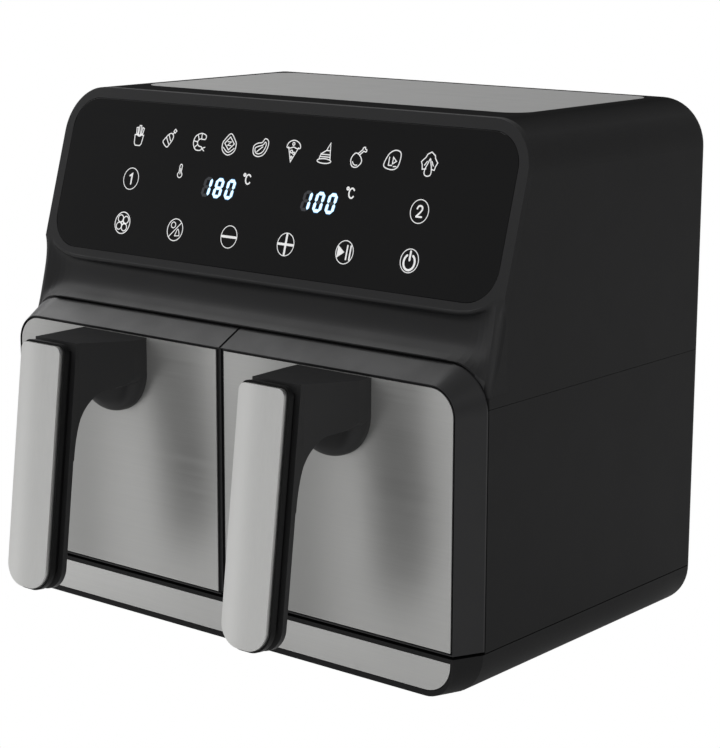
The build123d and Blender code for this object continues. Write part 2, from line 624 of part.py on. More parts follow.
with BuildPart() as rear_spacers:
    for x in (-120, 120):
        with Locations((x, yy(DEPTH), 120)):
            Cylinder(12, 6.0, rotation=(-90, 0, 0), align=(Align.CENTER, Align.CENTER, Align.MIN))
    fillet(rear_spacers.faces().sort_by(Axis.Y)[-2:].edges(), radius=2.0)
save(rear_spacers, "rear_spacers")

with BuildPart() as cord_gland:
    with BuildSketch(Plane.YZ.offset(150)):
        with BuildLine():
            Polyline(
                (yy(DEPTH - 8), 62 + 3.7), (yy(DEPTH - 8), 62 + 9.4), (yy(DEPTH - WALL), 62 + 9.4),
                (yy(DEPTH - WALL), 62 + 8.0), (yy(DEPTH), 62 + 8.0), (yy(DEPTH), 62 + 11.0),
                (yy(DEPTH + 2.0), 62 + 11.0), (yy(DEPTH + 4.0), 62 + 8.6), (yy(DEPTH + 4.0), 62 + 3.7),
                close=True,
            )
        make_face()
    revolve(axis=Axis((150, 0, 62), (0, 1, 0)))
save(cord_gland, "cord_gland")


def screw(x, y, z, direction, length, head_r, head_h):
    """Pan-head screw: its head's underside is at (x, y, z), and its shank runs along direction ('y-', 'y+' or 'z+')."""
    rot = {"z+": (0, 0, 0), "y-": (90, 0, 0), "y+": (-90, 0, 0)}[direction]
    with Locations(Location((x, y, z), rot)):
        Cylinder(2.0, length, align=(Align.CENTER, Align.CENTER, Align.MIN))
        with Locations((0, 0, -head_h)):
            Cylinder(head_r, head_h, align=(Align.CENTER, Align.CENTER, Align.MIN))
            Box(head_r * 1.1, 0.9, 1.4, mode=Mode.SUBTRACT)
            Box(0.9, head_r * 1.1, 1.4, mode=Mode.SUBTRACT)


with BuildPart() as base_screws:
    for x in (-150, 150):
        for d in (60, 200):
            screw(x, yy(d), Z_FOOT + 3.2, "z+", 16, 4.0, 2.6)
save(base_screws, "base_screws")

with BuildPart() as rear_screws:
    for x in (-172, 172):
        for z in (162, 197, 318):
            screw(x, yy(DEPTH), z, "y-", 12, 4.0, 2.2)
save(rear_screws, "rear_screws")

# ---------------------------------------------------------------- right drawer (mirrored to the left)
with BuildPart() as door_frame_right:
    with BuildSketch(front_plane(0)):
        door_outline(DOOR_X0, FACE_X1, DOOR_Z0, FACE_Z1, R_FACE)
    with BuildSketch(front_plane(BEVEL_D)):
        door_outline(DOOR_X0, HALF, DOOR_Z0, DOOR_Z1, R_DOOR)
    loft()
    with BuildSketch(front_plane(BEVEL_D)):
        door_outline(DOOR_X0, HALF, DOOR_Z0, DOOR_Z1, R_DOOR)
    extrude(amount=-(DOOR_BACK - BEVEL_D))
    # seat for the steel skin, and a deeper groove round it
    with BuildSketch(front_plane(0)):
        door_outline(SKIN_X0 - 0.7, SKIN_X1 + 0.7, SKIN_Z0 - 0.7, SKIN_Z1 + 0.7, R_SKIN + 0.7)
    extrude(amount=-SKIN_T, mode=Mode.SUBTRACT)
    with BuildSketch(front_plane(0)) as groove:
        door_outline(DOOR_X0 - 2.0, SKIN_X1 + 1.5, SKIN_Z0 - 0.8, SKIN_Z1 + 1.5, R_SKIN + 1.5)
        with BuildSketch(mode=Mode.PRIVATE) as inside:
            door_outline(SKIN_X0, SKIN_X1, SKIN_Z0, SKIN_Z1, R_SKIN)
        add(inside.sketch, mode=Mode.SUBTRACT)
    extrude(amount=-2.0, mode=Mode.SUBTRACT)
    # hollow back
    with BuildSketch(front_plane(3.6)):
        with Locations((CAV_X - 1.5, 116)):
            RectangleRounded(170, 150, 16)
    extrude(amount=-(DOOR_BACK - 3.6), mode=Mode.SUBTRACT)
    # handle screw holes
    with Locations((HAND_X - 14, yy(0), 172), (HAND_X + 14, yy(0), 172)):
        Cylinder(2.05, 20, rotation=(90, 0, 0), mode=Mode.SUBTRACT)
save(door_frame_right, "door_frame_right")
mirror_save(door_frame_right, "door_frame_left")

with BuildPart() as door_skin_right:
    with BuildSketch(front_plane(0)):
        door_outline(SKIN_X0, SKIN_X1, SKIN_Z0, SKIN_Z1, R_SKIN)
        with Locations((HAND_X - 14, 172), (HAND_X + 14, 172)):
            Circle(2.3, mode=Mode.SUBTRACT)
    extrude(amount=-SKIN_T)
save(door_skin_right, "door_skin_right")
mirror_save(door_skin_right, "door_skin_left")

with BuildPart() as door_back_right:
    with BuildSketch(front_plane(DOOR_BACK)):
        with Locations((CAV_X - 1.5, 116)):
            RectangleRounded(169.4, 149.4, 15.7)
    extrude(amount=3.0)
    # carrier that reaches the pan's front wall
    with BuildSketch(front_plane(PAN_D0)):
        with Locations((CAV_X, 101)):
            RectangleRounded(120, 96, 10)
    extrude(amount=PAN_D0 - DOOR_BACK)
    with BuildSketch(front_plane(PAN_D0)):
        with Locations((CAV_X, 101)):
            RectangleRounded(112, 88, 8, mode=Mode.ADD)
    extrude(amount=PAN_D0 - DOOR_BACK - 2.0, mode=Mode.SUBTRACT)
save(door_back_right, "door_back_right")
mirror_save(door_back_right, "door_back_left")

R_PAN, PAN_SPLIT = 15.0, 53.0
pan_mid = yy((PAN_D0 + PAN_D1) / 2)
with BuildPart() as pan_right:
    with BuildSketch(Plane.XY.offset(PAN_Z0)):
        with Locations((CAV_X, pan_mid)):
            RectangleRounded(2 * PAN_HX, PAN_D1 - PAN_D0, R_PAN)
    extrude(amount=PAN_Z1 - PAN_Z0)
    fillet(pan_right.faces().sort_by(Axis.Z)[0].edges(), radius=8)
    offset(amount=-PAN_T, openings=pan_right.faces().sort_by(Axis.Z)[-1])
    # rolled rim flange that slides on the liner's rails
    with BuildSketch(Plane.XY.offset(PAN_Z1 - 2.0)):
        with Locations((CAV_X, pan_mid + 2.0)):
            RectangleRounded(2 * PAN_HX + 10.6, PAN_D1 - PAN_D0 + 4.0, R_PAN + 3)
        with Locations((CAV_X, pan_mid)):
            RectangleRounded(2 * PAN_HX - 2 * PAN_T, PAN_D1 - PAN_D0 - 2 * PAN_T, R_PAN - PAN_T, mode=Mode.SUBTRACT)
    extrude(amount=2.0)
# the tub as touching solids: its bottom, four walls and four corners
pan_solids = []
span_x = [(-110, -(PAN_HX - R_PAN)), (-(PAN_HX - R_PAN), PAN_HX - R_PAN), (PAN_HX - R_PAN, 110)]
span_d = [(PAN_D0 - 20, PAN_D0 + R_PAN), (PAN_D0 + R_PAN, PAN_D1 - R_PAN), (PAN_D1 - R_PAN, PAN_D1 + 20)]
for i, (x0, x1) in enumerate(span_x):
    for j, (d0, d1) in enumerate(span_d):
        if (i, j) == (1, 1):
            continue
        with BuildPart() as region:
            add(pan_right.part)
            with Locations((CAV_X + x0, yy(d0), PAN_SPLIT)):
                Box(x1 - x0, d1 - d0, 140, align=(Align.MIN, Align.MIN, Align.MIN), mode=Mode.INTERSECT)
        pan_solids.append(region)
with BuildPart() as pan_bottom:
    add(pan_right.part)
    with Locations((CAV_X, pan_mid, PAN_SPLIT)):
        Box(300, 300, 40, align=(Align.CENTER, Align.CENTER, Align.MAX), mode=Mode.INTERSECT)
pan_solids.append(pan_bottom)
save_solids(pan_solids, "pan_right")
mirror_solids(pan_solids, "pan_left")

PLATE_Z = 57.0
with BuildPart() as crisper_plate_right:
    with BuildSketch(Plane.XY.offset(PLATE_Z)):
        with Locations((CAV_X, yy((PAN_D0 + PAN_D1) / 2))):
            RectangleRounded(150, 190, 20)
            with GridLocations(15.5, 15.5, 9, 11):
                Circle(3.4, mode=Mode.SUBTRACT)
    extrude(amount=1.6)
    # raised rim
    with BuildSketch(Plane.XY.offset(PLATE_Z)):
        with Locations((CAV_X, yy((PAN_D0 + PAN_D1) / 2))):
            RectangleRounded(150, 190, 20)
            RectangleRounded(146.4, 186.4, 18.2, mode=Mode.SUBTRACT)
    extrude(amount=6.0)
with BuildPart() as plate_feet:
    with Locations(*[(CAV_X + sx * 56, yy(127 + sy * 76), PLATE_Z) for sx in (-1, 1) for sy in (-1, 1)]):
        Cylinder(4, PLATE_Z - PAN_Z0 - PAN_T - 0.35, align=(Align.CENTER, Align.CENTER, Align.MAX))
save_solids((crisper_plate_right, plate_feet), "crisper_plate_right")
mirror_solids((crisper_plate_right, plate_feet), "crisper_plate_left")

with BuildPart() as plate_bumpers_right:
    for sx, sy, rot in ((1, 0, 0), (-1, 0, 0), (0, 1, 90), (0, -1, 90)):
        with Locations(
            Location((CAV_X + sx * (75 + 1.35), yy(127) + sy * (95 + 1.35), PLATE_Z + 0.5), (0, 0, rot))
        ):
            Box(2.7, 16, 8.0, align=(Align.CENTER, Align.CENTER, Align.MIN))
save(plate_bumpers_right, "plate_bumpers_right")
mirror_save(plate_bumpers_right, "plate_bumpers_left")

# ---------------------------------------------------------------- handle
GROOVE_D0, GROOVE_D1, GRIP_DEPTH = 3.8, 9.7, 14.2  # behind the face line, along its normal


def grip_d(z, inset):
    """Depth at height z of the plane that lies inset behind the grip's face."""
    return GRIP_TOP_D - GRIP_T * (GRIP_TOP_Z - z) + inset / math.cos(GRIP_ANGLE)


def grip_outline(half, top, bottom, r_top, r_bottom):
    """Front view of the grip in the GRIP plane: y runs up, and 0 is the top end."""
    with BuildLine() as edge_loop:
        Line((-half, bottom + r_bottom), (-half, top - r_top))
        RadiusArc((-half, top - r_top), (-half + r_top, top), r_top)
        Line((-half + r_top, top), (half - r_top, top))
        RadiusArc((half - r_top, top), (half, top - r_top), r_top)
        Line((half, top - r_top), (half, bottom + r_bottom))
        RadiusArc((half, bottom + r_bottom), (half - r_bottom, bottom), r_bottom)
        Line((half - r_bottom, bottom), (-half + r_bottom, bottom))
        RadiusArc((-half + r_bottom, bottom), (-half, bottom + r_bottom), r_bottom)
    make_face(edge_loop.edges())


with BuildPart() as handle_boss:
    # boss: a U against the door, and the neck that carries the grip
    with BuildSketch(front_plane(0)):
        with BuildLine():
            Polyline(
                (HAND_X - BOSS_HALF, BOSS_Z0 + BOSS_HALF), (HAND_X - BOSS_HALF, BOSS_Z1),
                (HAND_X + BOSS_HALF, BOSS_Z1), (HAND_X + BOSS_HALF, BOSS_Z0 + BOSS_HALF),
            )
            ThreePointArc(
                (HAND_X + BOSS_HALF, BOSS_Z0 + BOSS_HALF), (HAND_X, BOSS_Z0), (HAND_X - BOSS_HALF, BOSS_Z0 + BOSS_HALF)
            )
        make_face()
    extrude(amount=BOSS_PROUD)
    # broad rounding of the U's front edge; the flat top keeps its edge
    fillet(handle_boss.faces().sort_by(Axis.Y)[0].edges().filter_by(lambda e: e.center().Z < BOSS_Z1 - 1), radius=9.0)

NECK_Z0 = 162.7  # underside of the neck
with BuildPart() as neck:
    with BuildSketch(Plane.YZ.offset(HAND_X)):
        with BuildLine():
            Polyline(
                (yy(-29.0), NECK_Z0), (yy(0), NECK_Z0), (yy(0), BOSS_Z1), (yy(-BOSS_PROUD), BOSS_Z1),
                (yy(grip_d(194.9, GROOVE_D1)), 194.9), (yy(grip_d(121.0, GROOVE_D1)), 121.0),
                (yy(grip_d(121.0, GRIP_DEPTH - 0.3)), 121.0),
            )
            Spline(
                (yy(grip_d(121.0, GRIP_DEPTH - 0.3)), 121.0), (yy(-47.5), 149.7), (yy(-44.3), 154.5),
                (yy(-38.0), 160.2), (yy(-29.0), NECK_Z0),
                tangents=((GRIP_T, 1.0), (1.0, 0.0)),
            )
        make_face()
    extrude(amount=BOSS_HALF, both=True)
    # rounded lower side edges at the root
    fillet(
        neck.edges().filter_by(lambda e: abs(abs(e.center().X - HAND_X) - BOSS_HALF) < 0.01).filter_by(
            lambda e: abs(e.center().Z - NECK_Z0) < 0.01
        ),
        radius=6.0,
    )
    # plan view taper from the boss to the grip
    with BuildSketch(Plane.XY.offset(100)):
        with BuildLine():
            Polyline(
                (HAND_X - BOSS_HALF, yy(0)), (HAND_X - BOSS_HALF, yy(-BOSS_PROUD)), (HAND_X - GRIP_HALF, yy(-49)),
                (HAND_X - GRIP_HALF, yy(-80)), (HAND_X + GRIP_HALF, yy(-80)), (HAND_X + GRIP_HALF, yy(-49)),
                (HAND_X + BOSS_HALF, yy(-BOSS_PROUD)), (HAND_X + BOSS_HALF, yy(0)),
                close=True,
            )
        make_face()
    extrude(amount=120, mode=Mode.INTERSECT)

with BuildPart() as grip_back:
    with BuildSketch(GRIP.offset(-GROOVE_D1)):
        grip_outline(GRIP_HALF, GRIP_TOP - 0.2, -GRIP_LEN, 1.0, 15.0)
    extrude(amount=-(GRIP_DEPTH - GROOVE_D1))
    chamfer(grip_back.faces().sort_by(Axis(GRIP.origin, GRIP.z_dir))[0].edges(), length=0.8)

with BuildPart() as handle_body_right:
    add(handle_boss.part)
    add(neck.part)
    add(grip_back.part)
    # screw pilots
    with Locations((HAND_X - 14, yy(0), 172), (HAND_X + 14, yy(0), 172)):
        Cylinder(2.05, 18, rotation=(90, 0, 0), mode=Mode.SUBTRACT)
save(handle_body_right, "handle_body_right")
mirror_save(handle_body_right, "handle_body_left")

with BuildPart() as handle_shell_right:
    with BuildSketch(GRIP):
        grip_outline(GRIP_HALF, GRIP_TOP, -GRIP_LEN, 6.0, 15.5)
    extrude(amount=-GROOVE_D0)
    with BuildSketch(GRIP):
        grip_outline(GRIP_HALF - 1.3, GRIP_TOP - 1.3, -GRIP_LEN + 1.3, 4.7, 14.2)
    extrude(amount=-0.9, mode=Mode.SUBTRACT)
    # narrow core that closes the groove and meets the body
    with BuildSketch(GRIP.offset(-GROOVE_D0)):
        grip_outline(GRIP_HALF - 4.0, GRIP_TOP - 4.0, -GRIP_LEN + 5.0, 2.0, 11.5)
    extrude(amount=-(GROOVE_D1 - GROOVE_D0))
save(handle_shell_right, "handle_shell_right")
mirror_save(handle_shell_right, "handle_shell_left")

with BuildPart() as handle_facing_right:
    with BuildSketch(GRIP.offset(-0.9)):
        grip_outline(GRIP_HALF - 1.4, GRIP_TOP - 1.4, -GRIP_LEN + 1.4, 4.6, 14.1)
    extrude(amount=6)
    # slightly crowned face
    with BuildSketch(Plane(origin=GRIP.origin + GRIP.y_dir * 10, x_dir=(1, 0, 0), z_dir=-GRIP.y_dir)):
        with BuildLine():
            h = GRIP_HALF + 0.5
            ThreePointArc((-h, 0.05), (0, -0.6), (h, 0.05))
            Polyline((h, 0.05), (h, 3.0), (-h, 3.0), (-h, 0.05))
        make_face()
    extrude(amount=GRIP_LEN + 20, mode=Mode.INTERSECT)
save(handle_facing_right, "handle_facing_right")
mirror_save(handle_facing_right, "handle_facing_left")

with BuildPart() as handle_screws_right:
    for x in (HAND_X - 14, HAND_X + 14):
        screw(x, yy(3.6), 172, "y-", 11, 4.0, 2.4)
save(handle_screws_right, "handle_screws_right")
mirror_save(handle_screws_right, "handle_screws_left")

print("total nodes", len([f for f in os.listdir("parts") if f.endswith(".step")]))
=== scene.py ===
import math

import bmesh
import bpy
from mathutils import Matrix, Vector


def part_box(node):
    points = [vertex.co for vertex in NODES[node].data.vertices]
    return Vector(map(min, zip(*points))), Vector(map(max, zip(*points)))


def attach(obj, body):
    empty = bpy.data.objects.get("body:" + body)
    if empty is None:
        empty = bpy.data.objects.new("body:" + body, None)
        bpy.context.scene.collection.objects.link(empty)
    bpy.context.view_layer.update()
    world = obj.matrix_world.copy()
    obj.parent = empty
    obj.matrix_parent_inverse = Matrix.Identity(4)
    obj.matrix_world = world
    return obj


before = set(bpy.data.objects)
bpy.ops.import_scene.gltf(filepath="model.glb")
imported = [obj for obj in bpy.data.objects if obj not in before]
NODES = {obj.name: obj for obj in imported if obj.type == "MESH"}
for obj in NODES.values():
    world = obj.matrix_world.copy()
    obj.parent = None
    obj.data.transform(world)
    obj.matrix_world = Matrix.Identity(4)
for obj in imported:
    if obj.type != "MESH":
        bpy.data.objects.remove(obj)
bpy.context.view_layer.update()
MM = 0.001
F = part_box("door_skin_right")[0].y  # depth of the door faces


# ------------------------------------------------------------------ materials
class Mat:
    """A node material under construction."""

    def __init__(self, name):
        self.m = bpy.data.materials.new(name)
        self.m.use_nodes = True
        self.t = self.m.node_tree
        self.t.nodes.clear()
        self.out = self.t.nodes.new("ShaderNodeOutputMaterial")
        self.bsdf = self.t.nodes.new("ShaderNodeBsdfPrincipled")
        self.t.links.new(self.bsdf.outputs[0], self.out.inputs[0])
        self.tc = self.t.nodes.new("ShaderNodeTexCoord").outputs["Object"]

    def put(self, **values):
        for key, v in values.items():
            self.bsdf.inputs[key.replace("_", " ")].default_value = v

    def link(self, a, b):
        self.t.links.new(a, b)

    def node(self, kind, **props):
        n = self.t.nodes.new(kind)
        for k, v in props.items():
            setattr(n, k, v)
        return n

    def mapped(self, scale, rotation=(0, 0, 0)):
        n = self.node("ShaderNodeMapping")
        n.inputs["Scale"].default_value = scale
        n.inputs["Rotation"].default_value = rotation
        self.link(self.tc, n.inputs["Vector"])
        return n.outputs[0]

    def noise(self, scale, detail=3.0, rough=0.55, vector=None, distortion=0.0):
        n = self.node("ShaderNodeTexNoise")
        n.inputs["Scale"].default_value = scale
        n.inputs["Detail"].default_value = detail
        n.inputs["Roughness"].default_value = rough
        n.inputs["Distortion"].default_value = distortion
        self.link(vector if vector is not None else self.tc, n.inputs["Vector"])
        return n.outputs["Fac"]

    def voronoi(self, scale, vector=None, feature="F1"):
        n = self.node("ShaderNodeTexVoronoi", feature=feature)
        n.inputs["Scale"].default_value = scale
        self.link(vector if vector is not None else self.tc, n.inputs["Vector"])
        return n.outputs["Distance"]

    def remap(self, fac, lo, hi, a=0.3, b=0.7):
        n = self.node("ShaderNodeMapRange")
        n.inputs["From Min"].default_value = a
        n.inputs["From Max"].default_value = b
        n.inputs["To Min"].default_value = lo
        n.inputs["To Max"].default_value = hi
        self.link(fac, n.inputs["Value"])
        return n.outputs[0]

    def ramp(self, fac, stops, interpolation="LINEAR"):
        n = self.node("ShaderNodeValToRGB")
        n.color_ramp.interpolation = interpolation
        while len(n.color_ramp.elements) < len(stops):
            n.color_ramp.elements.new(0.5)
        for e, (pos, col) in zip(n.color_ramp.elements, stops):
            e.position = pos
            e.color = (*col, 1.0)
        self.link(fac, n.inputs["Fac"])
        return n.outputs["Color"]

    def math(self, op, a, b):
        n = self.node("ShaderNodeMath", operation=op)
        for k, v in enumerate((a, b)):
            if isinstance(v, (int, float)):
                n.inputs[k].default_value = v
            else:
                self.link(v, n.inputs[k])
        return n.outputs[0]

    def mix(self, fac, a, b, blend="MIX"):
        n = self.node("ShaderNodeMix", data_type="RGBA", blend_type=blend)
        if isinstance(fac, (int, float)):
            n.inputs[0].default_value = fac
        else:
            self.link(fac, n.inputs[0])
        for k, v in ((6, a), (7, b)):
            if isinstance(v, tuple):
                n.inputs[k].default_value = (*v, 1.0)
            else:
                self.link(v, n.inputs[k])
        return n.outputs[2]

    def xyz(self, axis, scale=1.0):
        n = self.node("ShaderNodeSeparateXYZ")
        self.link(self.tc, n.inputs[0])
        return n.outputs[axis]

    def bump(self, height, strength, distance, normal=None):
        n = self.node("ShaderNodeBump")
        n.inputs["Strength"].default_value = strength
        n.inputs["Distance"].default_value = distance
        self.link(height, n.inputs["Height"])
        if normal is not None:
            self.link(normal, n.inputs["Normal"])
        return n.outputs[0]

    def edge(self, radius, lo=0.90, hi=0.995):
        """1 on sharp edges, 0 on flat areas."""
        b = self.node("ShaderNodeBevel", samples=4)
        b.inputs["Radius"].default_value = radius
        g = self.node("ShaderNodeNewGeometry")
        d = self.node("ShaderNodeVectorMath", operation="DOT_PRODUCT")
        self.link(b.outputs[0], d.inputs[0])
        self.link(g.outputs["Normal"], d.inputs[1])
        return self.remap(d.outputs["Value"], 1.0, 0.0, lo, hi)

    def color(self, socket):
        self.link(socket, self.bsdf.inputs["Base Color"])

    def rough(self, socket):
        self.link(socket, self.bsdf.inputs["Roughness"])

    def normal(self, socket):
        self.link(socket, self.bsdf.inputs["Normal"])


def scaled(c, k):
    return tuple(min(1.0, v * k) for v in c)


def shell_zone(m):
    """1 where the fascia's outer sides and top carry on the housing's surface, 0 on its front."""
    g = m.node("ShaderNodeNewGeometry")
    n = m.node("ShaderNodeSeparateXYZ")
    m.link(g.outputs["Normal"], n.inputs[0])
    aside = m.remap(m.math("ABSOLUTE", m.xyz(0), 0.0), 0.0, 1.0, 0.1857, 0.1863)
    above = m.remap(m.xyz(2), 0.0, 1.0, 0.3000, 0.3006)
    return m.math("MULTIPLY", m.math("MAXIMUM", aside, above), m.remap(n.outputs[1], 0.0, 1.0, -0.42, -0.22))


def neck_foot(m):
    """Shading normal of the neck: its foot, just above the doors, catches the light like the doors' top bevel."""
    g = m.node("ShaderNodeNewGeometry")
    n = m.node("ShaderNodeSeparateXYZ")
    m.link(g.outputs["Normal"], n.inputs[0])
    low = m.remap(m.xyz(2), 1.0, 0.0, 0.2080, 0.2110)
    wide = m.remap(m.math("ABSOLUTE", m.xyz(0), 0.0), 1.0, 0.0, 0.150, 0.176)
    mask = m.math("MULTIPLY", m.math("MULTIPLY", low, wide), m.remap(n.outputs[2], 0.0, 1.0, 0.55, 0.75))
    lean_v = m.node("ShaderNodeVectorMath", operation="SCALE")
    lean_v.inputs[0].default_value = (0.0, -0.44, -0.10)
    m.link(mask, lean_v.inputs["Scale"])
    total = m.node("ShaderNodeVectorMath", operation="ADD")
    m.link(g.outputs["Normal"], total.inputs[0])
    m.link(lean_v.outputs[0], total.inputs[1])
    unit = m.node("ShaderNodeVectorMath", operation="NORMALIZE")
    m.link(total.outputs[0], unit.inputs[0])
    return unit.outputs[0]


def plastic(name, col, rough=0.5, spec=0.3, grain=1400.0, depth=0.00003, vary=0.14, wear=0.0, coat=0.0, specks=0.0, dull_up=0.0, painted_shade_up=0.0, shell=None, foot=False, gloss=0.06):
    """Moulded plastic: spark-eroded grain, cloudy tone, uneven gloss, handled edges. dull_up flattens the gloss of
    surfaces that face up and painted_shade_up darkens their colour as painted shade; shell is the colour, roughness and
    specular level of the part that joins the housing."""
    m = Mat(name)
    m.put(Specular_IOR_Level=spec, IOR=1.5)
    if coat:
        m.put(Coat_Weight=coat, Coat_Roughness=0.12)
    cloud = m.noise(9.0, 5.0, 0.6)
    fine = m.noise(grain, 2.0, 0.5)
    cell = m.voronoi(grain * 0.55)
    col_s = m.ramp(cloud, [(0.25, scaled(col, 1 - vary)), (0.75, scaled(col, 1 + vary))])
    col_s = m.mix(m.remap(fine, 0.0, 0.35), col_s, scaled(col, 0.72))
    if specks:
        dust = m.remap(m.noise(420.0, 1.0), 0.0, specks, 0.72, 0.80)
        col_s = m.mix(dust, col_s, scaled(col, 3.0))
    if wear:
        col_s = m.mix(m.math("MULTIPLY", m.math("MULTIPLY", m.edge(0.0007), m.remap(m.noise(90.0, 4.0), 0.2, 1.0)), wear), col_s, scaled(col, 2.6))
    rough_s = m.math("ADD", m.remap(m.noise(38.0, 4.0, 0.6), rough - gloss, rough + gloss), m.remap(fine, -0.03, 0.03))
    if shell:
        zone = shell_zone(m)
        col_s = m.mix(zone, col_s, m.ramp(cloud, [(0.25, scaled(shell[0], 1 - vary)), (0.75, scaled(shell[0], 1 + vary))]))
        rough_s = m.math("ADD", rough_s, m.remap(zone, 0.0, shell[1] - rough, 0.0, 1.0))
        m.link(m.remap(zone, spec, shell[2], 0.0, 1.0), m.bsdf.inputs["Specular IOR Level"])
    m.color(col_s)
    m.rough(rough_s)
    relief = m.bump(m.math("ADD", m.math("MULTIPLY", cell, 0.6), m.math("MULTIPLY", fine, 0.4)), 0.55, depth, neck_foot(m) if foot else None)
    m.normal(relief)
    if dull_up:
        up = m.node("ShaderNodeSeparateXYZ")
        m.link(m.node("ShaderNodeNewGeometry").outputs["Normal"], up.inputs[0])
        flat = m.node("ShaderNodeBsdfDiffuse")
        # Painted shade: the colour of surfaces that face up is mixed toward black.
        m.link(m.mix(m.remap(cloud, painted_shade_up * 0.9, painted_shade_up * 1.1), col_s, (0.0, 0.0, 0.0)) if painted_shade_up else col_s, flat.inputs["Color"])
        m.link(relief, flat.inputs["Normal"])
        pick = m.node("ShaderNodeMixShader")
        m.link(m.remap(up.outputs[2], 0.0, dull_up, 0.70, 0.98), pick.inputs[0])
        m.link(m.bsdf.outputs[0], pick.inputs[1])
        m.link(flat.outputs[0], pick.inputs[2])
        m.link(pick.outputs[0], m.out.inputs[0])
    return m


def steel(name, col, rough=0.3, streak=(9.0, 2600.0, 2600.0), depth=0.000003, painted_light_bands=None, vary=0.05, smudge=0.04, wear=0.4, turn=0.25, aniso=0.75, metal=1.0):
    """Brushed steel, its grain running along the axis with the low streak number. bands are (x, half width, factor) in
    metres: vertical strips of painted shade where the factor is above 0 and of painted highlight where it is below 0.
    """
    m = Mat(name)
    m.put(Metallic=metal, Specular_IOR_Level=0.5, Anisotropic=aniso, Anisotropic_Rotation=turn)
    if aniso:
        m.link(m.node("ShaderNodeTangent", direction_type="RADIAL", axis="Z").outputs[0], m.bsdf.inputs["Tangent"])
    long1 = m.noise(1.0, 4.0, 0.65, vector=m.mapped(streak))
    long2 = m.noise(1.0, 2.0, 0.5, vector=m.mapped(tuple(s * 0.22 for s in streak)))
    grain = m.math("ADD", m.math("MULTIPLY", long1, 0.65), m.math("MULTIPLY", long2, 0.35))
    c = m.ramp(grain, [(0.30, scaled(col, 1 - vary)), (0.70, scaled(col, 1 + vary))])
    cloud = m.noise(5.0, 3.0, 0.5)
    c = m.mix(m.remap(cloud, 0.0, 0.10), c, scaled(col, 0.80))
    x = m.xyz(0)
    # Painted shade and painted highlight: each strip mixes the colour toward a darker copy (factor above 0) and toward
    # a lighter copy (factor below 0).
    for cx, half, k in painted_light_bands or []:
        dist = m.math("DIVIDE", m.math("SUBTRACT", x, cx), half)
        bell = m.math("POWER", 2.718, m.math("MULTIPLY", m.math("MULTIPLY", dist, dist), -1.0))
        c = m.mix(m.math("MULTIPLY", bell, abs(k)), c, scaled(col, 0.55 if k > 0 else 1.5))
    if wear:
        c = m.mix(m.math("MULTIPLY", m.edge(0.0005), wear), c, scaled(col, 1.35))
    m.color(c)
    marks = m.remap(m.noise(26.0, 5.0, 0.7, distortion=0.6), 0.0, smudge, 0.45, 0.75)
    m.rough(m.math("ADD", m.remap(grain, rough - 0.07, rough + 0.07), marks))
    m.normal(m.bump(grain, 0.6, depth))
    return m


def bare_metal(name, col, rough=0.35, metallic=1.0, scale=60.0, tint=None, grain=900.0):
    """Rolled, pressed or turned metal: mill lines, mottling, faint spots, heat tint."""
    m = Mat(name)
    m.put(Metallic=metallic)
    mott = m.noise(scale, 6.0, 0.65)
    mill = m.noise(1.0, 3.0, 0.6, vector=m.mapped((grain, grain * 0.02, grain * 0.02)))
    c = m.ramp(mott, [(0.25, scaled(col, 0.84)), (0.75, scaled(col, 1.10))])
    c = m.mix(m.remap(mill, 0.0, 0.25), c, scaled(col, 0.8))
    spots = m.remap(m.noise(scale * 9, 2.0), 0.0, 0.5, 0.66, 0.78)
    c = m.mix(spots, c, scaled(col, 0.6))
    if tint:
        c = m.mix(m.remap(m.noise(14.0, 4.0, 0.6), 0.0, 0.7, 0.45, 0.7), c, tint)
    m.color(c)
    m.rough(m.math("ADD", m.remap(mott, rough - 0.08, rough + 0.10), m.remap(mill, -0.05, 0.05)))
    m.normal(m.bump(m.math("ADD", mill, m.math("MULTIPLY", mott, 0.3)), 0.4, 0.00002))
    return m


# The housing's top faces are darkened as painted shade.
housing = plastic("housing_black", (0.0165, 0.0165, 0.0168), 0.55, 0.11, vary=0.04, wear=0.25, dull_up=0.90, painted_shade_up=0.33, gloss=0.015)
fascia = plastic("fascia_black", (0.0190, 0.0190, 0.0196), 0.44, 0.24, grain=1700.0, depth=0.00002, wear=0.25, dull_up=0.0, shell=((0.0165, 0.0165, 0.0168), 0.55, 0.11), foot=True, gloss=0.03)
door_black = plastic("door_black", (0.0200, 0.0200, 0.0208), 0.38, 0.29, grain=1900.0, depth=0.000015, wear=0.25)
handle_black = plastic("handle_black", (0.0265, 0.0265, 0.0270), 0.46, 0.18, grain=1500.0, vary=0.08, wear=0.25, dull_up=0.8)
grip_black = plastic("grip_border_black", (0.0080, 0.0080, 0.0082), 0.42, 0.10, grain=1500.0, wear=0.10)
frame_black = plastic("frame_black", (0.006, 0.006, 0.006), 0.62, 0.12)
cooling_black = plastic("cooling_fan_plastic", (0.055, 0.055, 0.056), 0.5, 0.3)
switch_plastic = plastic("switch_plastic", (0.05, 0.05, 0.05), 0.42, 0.35)
display_plastic = plastic("display_plastic", (0.03, 0.03, 0.03), 0.4, 0.35)
rubber = plastic("foot_rubber", (0.014, 0.014, 0.014), 0.82, 0.15, grain=800.0, depth=0.00006, specks=0.25)
silicone = plastic("silicone", (0.022, 0.022, 0.023), 0.66, 0.22, grain=700.0, depth=0.00005, specks=0.15)
ribbon = plastic("ribbon_grey", (0.36, 0.36, 0.35), 0.45, 0.35)

